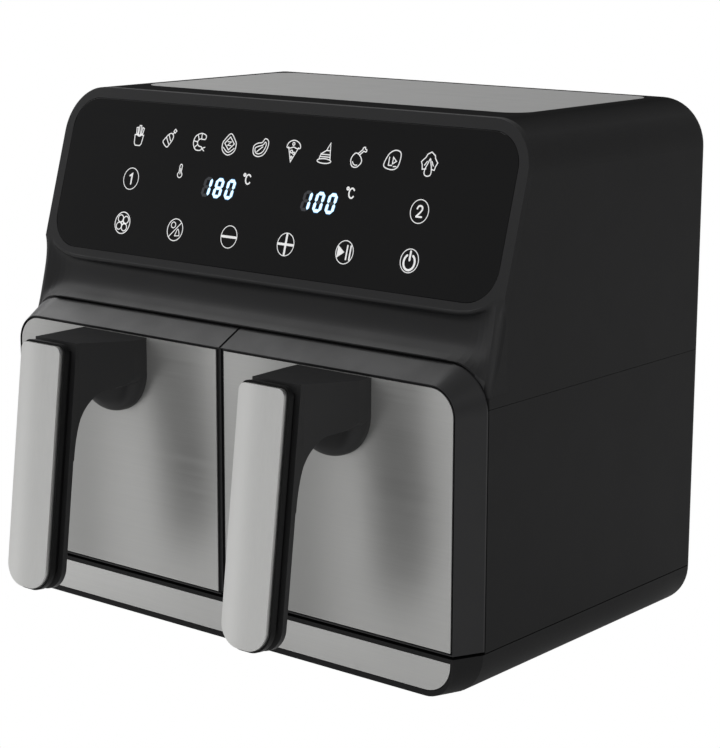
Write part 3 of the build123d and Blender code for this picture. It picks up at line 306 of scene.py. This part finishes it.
# The doors' steel carries painted shade in soft vertical strips beside the grips, in place of the grips' shadow and
# reflection.
skin_r = steel("brushed_steel_doors", (0.55, 0.55, 0.538), 0.355, painted_light_bands=[(-0.127, 0.032, 0.60), (0.063, 0.034, 0.78)], metal=0.74)
trim_steel = steel("brushed_steel_trim", (0.64, 0.64, 0.627), 0.38)
top_steel = steel("brushed_steel_top", (0.335, 0.335, 0.328), 0.42, aniso=0.0)
# The facings' steel carries a painted highlight in a narrow vertical strip on the left part of each facing.
facing_steel = steel("satin_steel_facing", (0.63, 0.63, 0.617), 0.36, painted_light_bands=[(-0.1040, 0.009, -0.42), (0.0790, 0.009, -0.42)], streak=(2200.0, 2200.0, 9.0), vary=0.04, aniso=0.0)

liner = bare_metal("liner_metal", (0.58, 0.58, 0.57), 0.38)
guard_wire = bare_metal("guard_wire", (0.55, 0.55, 0.54), 0.28, scale=120.0)
heater_metal = bare_metal("heater_metal", (0.16, 0.15, 0.14), 0.55, metallic=0.8, tint=(0.12, 0.09, 0.10))
fan_alloy = bare_metal("fan_alloy", (0.62, 0.62, 0.62), 0.34)
shaft_steel = bare_metal("shaft_steel", (0.55, 0.55, 0.54), 0.26, scale=200.0)
motor_metal = bare_metal("motor_metal", (0.34, 0.34, 0.33), 0.45, tint=(0.42, 0.37, 0.24))


def coated(name):
    """Non-stick coating on pressed steel: a fine orange peel with small bright flecks."""
    m = Mat(name)
    m.put(Specular_IOR_Level=0.42, Coat_Weight=0.12, Coat_Roughness=0.3)
    peel = m.noise(520.0, 2.0, 0.5)
    fleck = m.remap(m.noise(1500.0, 1.0), 0.0, 0.65, 0.70, 0.78)
    c = m.ramp(m.noise(16.0, 4.0), [(0.3, (0.017, 0.017, 0.017)), (0.7, (0.026, 0.026, 0.027))])
    c = m.mix(fleck, c, (0.16, 0.16, 0.16))
    c = m.mix(m.math("MULTIPLY", m.edge(0.0008), 0.35), c, (0.09, 0.09, 0.09))
    m.color(c)
    m.rough(m.remap(m.noise(45.0, 4.0), 0.34, 0.46))
    m.normal(m.bump(peel, 0.45, 0.00006))
    return m


pan_coat = coated("pan_coating")


def board(name):
    """Solder mask over copper tracks."""
    m = Mat(name)
    m.put(Specular_IOR_Level=0.5)
    tracks = m.node("ShaderNodeTexBrick")
    m.link(m.mapped((260.0, 260.0, 260.0), (0.6, 0.0, 0.0)), tracks.inputs["Vector"])
    tracks.inputs["Scale"].default_value = 1.0
    tracks.inputs["Mortar Size"].default_value = 0.06
    c = m.ramp(m.noise(30.0, 4.0), [(0.3, (0.010, 0.075, 0.030)), (0.7, (0.016, 0.105, 0.045))])
    c = m.mix(m.math("MULTIPLY", tracks.outputs["Fac"], 0.5), c, (0.03, 0.20, 0.09))
    pads = m.remap(m.voronoi(310.0), 1.0, 0.0, 0.10, 0.16)
    c = m.mix(m.math("MULTIPLY", pads, 0.7), c, (0.45, 0.44, 0.40))
    m.color(c)
    m.rough(m.remap(m.noise(200.0), 0.26, 0.42))
    m.normal(m.bump(tracks.outputs["Fac"], 0.3, 0.00004))
    return m


board_green = board("board_green")


def panel_glass():
    """Back-printed glass: near-black, glossy, with faint wipe marks and dust."""
    m = Mat("panel_glass")
    m.put(Specular_IOR_Level=0.13, IOR=1.5)
    depth = m.noise(4.0, 3.0)
    c = m.ramp(depth, [(0.3, (0.0060, 0.0060, 0.0062)), (0.7, (0.0078, 0.0078, 0.0080))])
    dust = m.remap(m.noise(700.0, 1.0), 0.0, 0.10, 0.74, 0.82)
    c = m.mix(dust, c, (0.06, 0.06, 0.06))
    m.color(c)
    wipe = m.noise(1.0, 5.0, 0.7, vector=m.mapped((14.0, 60.0, 60.0), (0.0, 0.0, 0.35)), distortion=0.8)
    m.rough(m.remap(wipe, 0.10, 0.19))
    m.normal(m.bump(m.noise(60.0, 2.0), 0.06, 0.00004))
    return m


glass = panel_glass()


def printed(name, col, strength):
    """Back-lit print: the lamp behind it makes it a little uneven."""
    m = Mat(name)
    m.put(Roughness=0.35, Emission_Strength=strength, Specular_IOR_Level=0.3)
    lamp = m.noise(140.0, 2.0)
    c = m.ramp(lamp, [(0.3, scaled(col, 0.90)), (0.7, col)])
    m.color(m.mix(0.5, c, scaled(col, 0.7)))
    m.link(c, m.bsdf.inputs["Emission Color"])
    m.normal(m.bump(m.noise(900.0), 0.1, 0.00001))
    return m


ink = printed("print_white", (0.70, 0.70, 0.70), 0.62)
lit = printed("segment_lit", (0.58, 0.84, 1.0), 1.15)
halo = printed("segment_halo", (0.05, 0.16, 0.36), 0.50)
# The unlit segments emit a faint painted glow, so they show dimly through the glass.
ghost = printed("segment_unlit", (0.030, 0.032, 0.036), 0.60)

MATERIALS = {
    housing: ["base_tray", "side_panel_left", "side_panel_right", "rear_panel", "upper_housing", "exhaust_grilles", "rear_spacers", "cord_gland"],
    fascia: ["front_fascia"],
    glass: ["glass_panel"],
    skin_r: ["door_skin_left", "door_skin_right"],
    trim_steel: ["base_trim"],
    top_steel: ["top_plate"],
    facing_steel: ["handle_facing_left", "handle_facing_right"],
    door_black: ["door_frame_left", "door_frame_right", "door_back_left", "door_back_right"],
    handle_black: ["handle_body_left", "handle_body_right"],
    grip_black: ["handle_shell_left", "handle_shell_right"],
    rubber: ["rubber_feet"],
    frame_black: ["front_frame"],
    liner: ["cavity_liner_left", "cavity_liner_right", "motor_brackets"],
    heater_metal: ["heater_left", "heater_right"],
    guard_wire: ["heater_guard_left", "heater_guard_right", "temp_sensors"],
    fan_alloy: ["hot_fan_left", "hot_fan_right"],
    shaft_steel: ["fan_shaft_left", "fan_shaft_right", "base_screws", "rear_screws", "handle_screws_left", "handle_screws_right"],
    cooling_black: ["cooling_fan_left", "cooling_fan_right"],
    motor_metal: ["motor_left", "motor_right"],
    board_green: ["touch_board", "power_board"],
    display_plastic: ["display_modules"],
    ribbon: ["ribbon_cable"],
    switch_plastic: ["drawer_switch_left", "drawer_switch_right", "switch_plunger_left", "switch_plunger_right"],
    pan_coat: ["pan_left", "pan_right", "crisper_plate_left", "crisper_plate_right"],
    silicone: ["plate_bumpers_left", "plate_bumpers_right"],
}
dressed = set()
for mat, names in MATERIALS.items():
    for n in names:
        data = NODES[n].data
        data.materials.clear()
        data.materials.append(mat.m)
        dressed.add(n)
assert not set(NODES) - dressed, sorted(set(NODES) - dressed)

# ------------------------------------------------------------------ the control panel's plane
T = 0.297
K = math.sqrt(1 + T * T)
UP = Vector((0, T / K, 1 / K))
OUT = Vector((0, -1 / K, T / K))
ORIGIN = Vector((0, F + 31.8 * MM, 236.7 * MM))


def on_panel(x, s, h=0.0):
    """A point x to the right and s up the glass from its lower edge, h above it; all in millimetres."""
    return ORIGIN + Vector((x * MM, 0, 0)) + UP * (s * MM) + OUT * (h * MM)


def solid_from_rings(bm, outer, inner, low, high):
    """A closed ribbon between two rings of equal length, or a filled plate where inner is None."""
    n = len(outer)
    top_o = [bm.verts.new(on_panel(x, y, high)) for x, y in outer]
    bot_o = [bm.verts.new(on_panel(x, y, low)) for x, y in outer]
    for k in range(n):
        j = (k + 1) % n
        bm.faces.new((top_o[k], bot_o[k], bot_o[j], top_o[j]))
    if inner is None:
        bm.faces.new(top_o)
        bm.faces.new(list(reversed(bot_o)))
        return
    top_i = [bm.verts.new(on_panel(x, y, high)) for x, y in inner]
    bot_i = [bm.verts.new(on_panel(x, y, low)) for x, y in inner]
    for k in range(n):
        j = (k + 1) % n
        bm.faces.new((top_i[k], top_i[j], bot_i[j], bot_i[k]))
        bm.faces.new((top_o[k], top_o[j], top_i[j], top_i[k]))
        bm.faces.new((bot_o[k], bot_i[k], bot_i[j], bot_o[j]))


def offset_line(points, w, closed):
    """Mitred left and right offsets of a polyline."""
    left, right = [], []
    n = len(points)
    for k in range(n):
        p = Vector(points[k])
        a = Vector(points[k - 1]) if (k > 0 or closed) else None
        b = Vector(points[(k + 1) % n]) if (k < n - 1 or closed) else None
        d1 = (p - a).normalized() if a is not None else (b - p).normalized()
        d2 = (b - p).normalized() if b is not None else d1
        n1, n2 = Vector((-d1.y, d1.x)), Vector((-d2.y, d2.x))
        mid = (n1 + n2)
        mid = mid.normalized() if mid.length > 1e-6 else n1
        k_m = 1.0 / max(0.45, mid.dot(n1))
        left.append(p + mid * (w / 2 * k_m))
        right.append(p - mid * (w / 2 * k_m))
    return left, right


def stroke(bm, points, w, closed=False, low=0.004, high=0.05):
    pts = [Vector(p) for p in points]
    left, right = offset_line(pts, w, closed)
    if closed:
        solid_from_rings(bm, [tuple(p) for p in left], [tuple(p) for p in right], low, high)
        return
    # rounded ends
    def cap(p, d, start_left):
        a0 = math.atan2(start_left.y - p.y, start_left.x - p.x)
        return [(p.x + w / 2 * math.cos(a0 - math.pi * k / 6), p.y + w / 2 * math.sin(a0 - math.pi * k / 6)) for k in range(1, 6)]

    ring = [tuple(p) for p in left]
    ring += cap(pts[-1], None, left[-1])
    ring += [tuple(p) for p in reversed(right)]
    ring += cap(pts[0], None, right[0])
    solid_from_rings(bm, ring, None, low, high)


def arc(cx, cy, r, a0, a1, n=24, ry=None):
    ry = r if ry is None else ry
    return [(cx + r * math.cos(math.radians(a0 + (a1 - a0) * k / n)), cy + ry * math.sin(math.radians(a0 + (a1 - a0) * k / n))) for k in range(n + 1)]


def ring(cx, cy, r, n=40, ry=None):
    return arc(cx, cy, r, 0, 360, n, ry)[:-1]


def smooth(points, closed=False, n=6):
    """Catmull-Rom curve through the points."""
    p = [Vector(q) for q in points]
    out = []
    m = len(p)
    spans = m if closed else m - 1
    for k in range(spans):
        p0 = p[(k - 1) % m] if (closed or k > 0) else p[0]
        p1, p2 = p[k % m], p[(k + 1) % m]
        p3 = p[(k + 2) % m] if (closed or k + 2 < m) else p[-1]
        for j in range(n):
            t = j / n
            out.append(tuple(0.5 * ((2 * p1) + (p2 - p0) * t + (2 * p0 - 5 * p1 + 4 * p2 - p3) * t * t + (3 * p1 - p0 - 3 * p2 + p3) * t ** 3)))
    if not closed:
        out.append(tuple(p[-1]))
    return out


def piece(name, bm, mat, body):
    bmesh.ops.recalc_face_normals(bm, faces=bm.faces)
    me = bpy.data.meshes.new(name)
    bm.to_mesh(me)
    bm.free()
    me.materials.append(mat.m)
    ob = bpy.data.objects.new(name, me)
    bpy.context.scene.collection.objects.link(ob)
    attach(ob, body)
    return ob


W = 0.72  # line weight of the print


def symbol(name, cx, cy, strokes, scale=1.0, w=W, mat=None, fills=(), bold=(), bold_w=1.2):
    """strokes and bold: (points, closed) in millimetres about (cx, cy); fills: outlines of solid areas."""
    bm = bmesh.new()
    for group, weight in ((strokes, w), (bold, bold_w)):
        for pts, closed in group:
            stroke(bm, [(cx + x * scale, cy + y * scale) for x, y in pts], weight, closed)
    for pts in fills:
        solid_from_rings(bm, [(cx + x * scale, cy + y * scale) for x, y in pts], None, 0.004, 0.05)
    return piece(name, bm, mat or ink, "housing")


def turned(strokes, deg, k=1.0):
    c, d = k * math.cos(math.radians(deg)), k * math.sin(math.radians(deg))
    return [([(x * c - y * d, x * d + y * c) for x, y in pts], closed) for pts, closed in strokes]


RX, RY = 6.65, 7.1
circle = (ring(0, 0, RX, 44, RY), True)
TOP_S = 78.0
foods = [
    ("print_fries", [
        ([(-4.0, 0.6), (-3.4, -5.2), (-2.2, -6.6), (2.0, -6.6), (3.2, -5.2), (4.0, 0.6)], True),
        ([(-2.7, 0.8), (-3.4, 5.4), (-1.9, 5.8), (-1.5, 0.6)], False),
        ([(-0.9, 0.6), (-0.9, 7.0), (0.7, 7.0), (0.7, 0.6)], False),
        ([(1.4, 0.6), (2.0, 5.8), (3.6, 5.2), (2.8, 0.8)], False),
        (arc(0.0, 2.4, 2.6, 200, 340, 10), False),
    ]),
    ("print_skewer", turned([
        ([(0, 4.2), (0, 6.0)], False),
        ([(-0.9, 6.0), (0.9, 6.0), (0.9, 8.0), (-0.9, 8.0)], True),
        (smooth([(-2.6, -5.4), (2.6, -5.4), (3.1, -2.6), (2.7, 1.4), (1.3, 3.8), (-1.3, 3.8), (-2.7, 1.4), (-3.1, -2.6)], True, 4), True),
        ([(-2.2, 1.4), (2.0, -0.2)], False), ([(-2.6, -1.2), (2.4, -2.8)], False),
    ], -38, 0.98)),
    ("print_prawn", turned([
        (smooth([(5.0, 4.4), (0.5, 5.6), (-4.2, 3.2), (-5.2, -1.4), (-2.6, -5.4), (2.0, -5.6), (2.8, -3.6), (-0.6, -2.6), (-1.6, 0.0), (0.4, 1.8), (4.6, 1.8)], True, 5), True),
        ([(3.0, -4.4), (5.2, -5.8)], False), ([(3.0, -4.4), (5.6, -3.4)], False),
        ([(-2.0, 4.0), (-0.8, 1.6)], False), ([(-4.8, 0.2), (-1.9, -0.2)], False), ([(1.2, 5.2), (1.4, 2.0)], False), ([(-3.6, -4.0), (-1.4, -2.0)], False),
    ], 0)),
    ("print_sandwich", [
        (smooth([(0, 7.2), (4.4, 3.2), (6.0, 0.2), (5.0, -4.4), (0.0, -7.0), (-5.0, -4.4), (-6.0, 0.2), (-4.4, 3.2)], True, 5), True),
        ([(0, 5.0), (4.2, 0.6), (0, -3.6), (-4.2, 0.6)], True),
        ([(-1.6, 1.8), (1.4, 1.8), (-1.4, -0.6), (1.6, -0.6)], False),
        (smooth([(-4.8, -2.2), (0.0, -5.2), (4.8, -2.2)], False, 6), False),
    ]),
    ("print_steak", [
        (smooth([(-6.0, 0.4), (-3.0, 2.6), (0.6, 3.4), (2.8, 6.0), (5.8, 4.6), (6.0, 0.4), (3.6, -4.2), (-1.0, -6.0), (-5.2, -4.4)], True, 5), True),
        (smooth([(-4.4, -0.6), (-1.6, 0.8), (1.6, 1.8), (3.4, 3.8), (4.4, 1.6), (2.4, -2.6), (-1.0, -4.2), (-3.8, -3.2)], True, 5), True),
        ([(-2.6, -2.8), (1.8, 0.6)], False),
    ]),
    ("print_pizza", [
        ([(-4.2, 2.2), (-0.6, -7.2), (4.2, 2.2)], False),
        (smooth([(-5.6, 2.0), (-4.6, 5.0), (-1.4, 6.6), (1.8, 6.4), (4.8, 4.6), (5.6, 2.0), (2.6, 1.6), (0.0, 2.4), (-2.6, 1.6)], True, 5), True),
        (ring(-0.4, 4.4, 0.9, 14), True), (ring(-1.2, -0.6, 0.9, 14), True), (ring(0.9, -1.6, 0.7, 14), True), (ring(-0.5, -4.2, 0.6, 12), True),
    ]),
    ("print_cake", [
        (ring(0, -4.6, 5.6, 28, 1.5), True),
        ([(-4.2, -3.2), (-3.4, -0.2), (0.6, 2.2), (3.0, 7.0), (4.6, -3.2)], False),
        ([(-3.4, -0.4), (4.0, -0.4)], False), ([(-3.9, -1.9), (4.3, -1.9)], False), ([(0.8, 2.2), (3.6, 2.2)], False),
    ]),
    ("print_drumstick", turned([
        (smooth([(-1.4, -0.6), (-3.0, 3.0), (0.2, 6.4), (4.2, 5.8), (5.6, 1.4), (2.6, -2.4)], True, 5), True),
        ([(-0.9, -1.6), (-3.4, -4.0)], False), ([(0.5, -2.3), (-2.4, -4.9)], False),
        (smooth([(-3.4, -4.0), (-5.2, -3.6), (-5.6, -4.9), (-4.4, -5.4), (-4.2, -6.4), (-2.8, -6.2), (-2.4, -4.9)], False, 4), False),
        (arc(1.2, 2.2, 3.0, 20, 110, 8), False),
    ], 180)),
    ("print_roast", [
        (smooth([(-6.0, -4.2), (-5.6, 0.0), (-3.0, 4.4), (1.0, 6.4), (5.0, 5.4), (5.8, 1.6), (4.4, -4.0), (0.0, -5.8)], True, 5), True),
        ([(-2.8, 1.8), (-2.8, -3.2), (-0.2, -3.2)], False), ([(0.2, 2.0), (0.2, -2.2), (3.0, -0.4)], True), ([(3.4, -3.6), (1.2, -3.8)], False),
    ]),
    ("print_greens", [
        ([(-2.0, -3.2), (-4.6, -3.6), (-5.2, -0.8), (-6.2, 1.0), (-3.2, 4.0), (-2.4, 5.8), (0.4, 7.4), (3.4, 5.4), (4.0, 3.6), (6.2, 1.0), (5.0, -1.4), (4.6, -3.6), (2.2, -3.2)], False),
        (smooth([(-2.6, -3.6), (-2.4, -6.6), (0.0, -7.6), (2.2, -6.6), (2.4, -3.6), (1.2, 0.4), (0.2, 3.2), (-1.0, 0.4)], True, 4), True),
        ([(-3.4, -1.0), (-1.8, 1.4)], False), ([(3.2, -1.0), (1.8, 1.6)], False),
    ]),
]
TOP_X = [-120.2, -92.7, -65.9, -40.0, -13.5, 13.4, 39.4, 65.6, 92.0, 119.4]
for (name, strokes), x in zip(foods, TOP_X):
    symbol(name, x, TOP_S, strokes, 0.97, 0.66)

ONE = [([(-1.3, 1.9), (0.5, 3.2), (0.5, -3.4)], False)]
TWO = [
    (smooth([(-1.9, 1.6), (-1.2, 2.9), (0.3, 3.4), (1.7, 2.6), (1.7, 0.9), (0.2, -1.1), (-1.8, -3.0)], False, 5), False),
    ([(-1.9, -3.2), (2.1, -3.2)], False),
]
symbol("print_zone_one", -120.3, 49.4, [circle], w=0.52, bold=ONE, bold_w=1.15)
symbol("print_zone_two", 118.7, 49.5, [circle], w=0.52, bold=TWO, bold_w=1.1)

CELSIUS = [(ring(-2.3, 2.4, 0.75, 16), True), (arc(1.1, -0.2, 2.1, 40, 320, 22, 3.0), False)]
symbol("print_celsius_left", -19.9, 57.5, CELSIUS, 1.0, 1.0)
symbol("print_celsius_right", 64.5, 56.0, CELSIUS, 1.0, 1.0)
symbol("print_thermometer", -77.8, 57.9, [
    (arc(0, 3.4, 1.0, 0, 180, 8) + arc(0, -2.4, 1.9, 122, 418, 22), True),
    ([(0, 1.6), (0, -1.8)], False),
], 1.0, 0.62)

LOW_S = 19.9
petals = []
for k in range(4):
    a = math.radians(90 * k + 38)
    petals.append((ring(3.45 * math.cos(a), 3.55 * math.sin(a), 2.35, 24), True))
petals.append((ring(0, 0, 0.9, 16), True))
symbol("print_fan", -120.6, LOW_S, [circle, *petals], 1.0, 0.66)
symbol("print_timer", -72.9, LOW_S, [circle, ([(-4.6, -4.9), (4.6, 4.9)], False), (ring(-2.0, 3.0, 1.9, 20), True), (smooth([(0.6, -3.8), (1.6, -0.6), (2.6, 0.6), (3.6, -0.8), (4.4, -3.4)], False, 5), False), ([(0.4, -3.9), (4.4, -3.5)], False)], 1.0, 0.60)
symbol("print_minus", -25.9, LOW_S, [circle], w=0.52, bold=[([(-5.9, 0), (5.9, 0)], False)], bold_w=1.55)
symbol("print_plus", 21.4, LOW_S, [circle], w=0.52, bold=[([(-5.9, 0), (5.9, 0)], False), ([(0, -6.3), (0, 6.3)], False)], bold_w=1.5)
symbol("print_play_pause", 68.5, LOW_S, [circle], w=0.52, bold=[([(1.7, 4.2), (1.7, -4.2)], False), ([(4.3, 4.2), (4.3, -4.2)], False)], bold_w=1.05, fills=[[(-5.6, 3.9), (-5.6, -3.9), (-0.2, 0.0)]])
symbol("print_power", 118.0, LOW_S, [circle], w=0.52, bold=[(arc(0, -0.9, 4.1, 122, 418, 26, 4.7), False), ([(0, 0.4), (0, 5.6)], False)], bold_w=1.35)

# ------------------------------------------------------------------ seven-segment figures
SEGMENTS = {"0": "abcdef", "1": "bc", "8": "abcdefg"}
SEG_H, SEG_W, SLANT, SEG_T = 12.9, 7.0, 0.16, 2.0


def seg_shape(which, grow):
    """Hexagonal segment outline in the unslanted cell, grown by grow millimetres."""
    h, w, t = SEG_H / 2 - SEG_T / 2, SEG_W / 2 - SEG_T / 2, SEG_T / 2 + grow
    g = 0.06 - grow * 0.6
    flat = {"a": (0, h), "g": (0, 0), "d": (0, -h)}
    if which in flat:
        _, y = flat[which]
        a, b = -w + g, w - g
        return [(a, y), (a + t, y + t), (b - t, y + t), (b, y), (b - t, y - t), (a + t, y - t)]
    x = w if which in "bc" else -w
    lo, hi = (g, h - g) if which in "bf" else (-h + g, -g)
    return [(x, lo), (x - t, lo + t), (x - t, hi - t), (x, hi), (x + t, hi - t), (x + t, lo + t)]


def figures(name, text, cx, cy, pitch):
    for layer, mat, grow, low, high in (("lit", lit, 0.0, 0.020, 0.060), ("halo", halo, 0.42, 0.004, 0.012), ("unlit", ghost, 0.0, 0.004, 0.016)):
        bm = bmesh.new()
        for k, ch in enumerate(text):
            x0 = cx + (k - (len(text) - 1) / 2) * pitch
            for s in "abcdefg":
                on = s in SEGMENTS[ch]
                if on != (layer != "unlit"):
                    continue
                outline = [(x0 + x + y * SLANT, cy + y) for x, y in seg_shape(s, grow)]
                solid_from_rings(bm, list(reversed(outline)), None, low, high)
        if bm.verts:
            piece(f"{name}_{layer}", bm, mat, "housing")
        else:
            bm.free()


figures("digits_left", "180", -42.4, 49.7, 9.9)
figures("digits_right", "100", 41.4, 48.1, 9.9)

# ------------------------------------------------------------------ studio
floor_bm = bmesh.new()
bmesh.ops.create_grid(floor_bm, x_segments=8, y_segments=8, size=14.0)
floor_me = bpy.data.meshes.new("floor")
floor_bm.to_mesh(floor_me)
floor_bm.free()
floor = bpy.data.objects.new("floor", floor_me)
bpy.context.scene.collection.objects.link(floor)
fm = Mat("floor_paper")
fm.put(Roughness=0.9, Specular_IOR_Level=0.05)
fm.color(fm.ramp(fm.noise(0.8, 2.0), [(0.3, (0.50, 0.50, 0.50)), (0.7, (0.52, 0.52, 0.52))]))
fm.bsdf.inputs["Emission Color"].default_value = (1, 1, 1, 1)
fm.bsdf.inputs["Emission Strength"].default_value = 0.30
fm.normal(fm.bump(fm.noise(300.0), 0.02, 0.0001))
paper = fm.node("ShaderNodeEmission")
paper.inputs["Strength"].default_value = 1.0
pick = fm.node("ShaderNodeMixShader")
fm.link(fm.node("ShaderNodeLightPath").outputs["Is Camera Ray"], pick.inputs[0])
fm.link(fm.bsdf.outputs[0], pick.inputs[1])
fm.link(paper.outputs[0], pick.inputs[2])
fm.link(pick.outputs[0], fm.out.inputs[0])
floor_me.materials.append(fm.m)

world = bpy.data.worlds.new("studio")
bpy.context.scene.world = world
world.use_nodes = True
wt = world.node_tree
wt.nodes.clear()
wo = wt.nodes.new("ShaderNodeOutputWorld")
mixer = wt.nodes.new("ShaderNodeMixShader")
seen = wt.nodes.new("ShaderNodeBackground")
soft = wt.nodes.new("ShaderNodeBackground")
path = wt.nodes.new("ShaderNodeLightPath")
seen.inputs["Color"].default_value = (1, 1, 1, 1)
seen.inputs["Strength"].default_value = 1.0
coord = wt.nodes.new("ShaderNodeTexCoord")
split = wt.nodes.new("ShaderNodeSeparateXYZ")
tone = wt.nodes.new("ShaderNodeValToRGB")
wt.links.new(coord.outputs["Generated"], split.inputs[0])
wt.links.new(split.outputs[2], tone.inputs["Fac"])
els = tone.color_ramp.elements
els[0].position, els[0].color = 0.0, (0.62, 0.62, 0.625, 1)
els[1].position, els[1].color = 1.0, (0.55, 0.55, 0.55, 1)
mid = els.new(0.35)
mid.color = (0.50, 0.50, 0.505, 1)
lean = wt.nodes.new("ShaderNodeMapRange")
lean.inputs["From Min"].default_value = -1.0
lean.inputs["From Max"].default_value = 1.0
lean.inputs["To Min"].default_value = 1.15
lean.inputs["To Max"].default_value = 0.60
wt.links.new(split.outputs[0], lean.inputs["Value"])
wt.links.new(tone.outputs[0], soft.inputs["Color"])
wt.links.new(lean.outputs[0], soft.inputs["Strength"])
wt.links.new(path.outputs["Is Camera Ray"], mixer.inputs[0])
wt.links.new(soft.outputs[0], mixer.inputs[1])
wt.links.new(seen.outputs[0], mixer.inputs[2])
wt.links.new(mixer.outputs[0], wo.inputs[0])


def area(name, at, to, size, power, size_y=None):
    light = bpy.data.lights.new(name, "AREA")
    light.energy = power
    light.shape = "RECTANGLE"
    light.size = size
    light.size_y = size_y or size
    ob = bpy.data.objects.new(name, light)
    ob.location = at
    ob.rotation_mode = "QUATERNION"
    ob.rotation_quaternion = (Vector(to) - Vector(at)).to_track_quat("-Z", "Y")
    bpy.context.scene.collection.objects.link(ob)
    return ob


area("key_top", (-1.70, 0.16, 2.10), (0, 0, 0.15), 2.3, 33.0)
area("key_left", (-2.9, -0.5, 1.5), (0, -0.1, 0.2), 1.2, 3.5)
area("fill_front", (1.5, -2.5, 0.45), (0.1, -0.1, 0.2), 1.0, 9.0)
area("rim_right", (2.4, 0.6, 1.9), (0.1, 0.0, 0.25), 1.1, 4.0)

camera_data = bpy.data.cameras.new("camera")
camera_data.lens = 104.85
camera_data.sensor_width = 36.0
camera_data.sensor_fit = "AUTO"
camera = bpy.data.objects.new("camera", camera_data)
bpy.context.scene.collection.objects.link(camera)
az, pitch, roll = math.radians(39.27), math.radians(12.25), math.radians(0.18)
fwd = Vector((-math.sin(az) * math.cos(pitch), math.cos(az) * math.cos(pitch), -math.sin(pitch)))
right = Vector((math.cos(az), math.sin(az), 0))
up = right.cross(fwd)
right2 = right * math.cos(roll) + up * math.sin(roll)
up2 = -right * math.sin(roll) + up * math.cos(roll)
rot = Matrix((right2, up2, -fwd)).transposed()
camera.matrix_world = Matrix.Translation((0.8963, F - 0.9599, 0.4623)) @ rot.to_4x4()
camera_data.clip_start, camera_data.clip_end = 0.05, 60.0
bpy.context.scene.camera = camera
bpy.context.scene.view_settings.view_transform = "Standard"
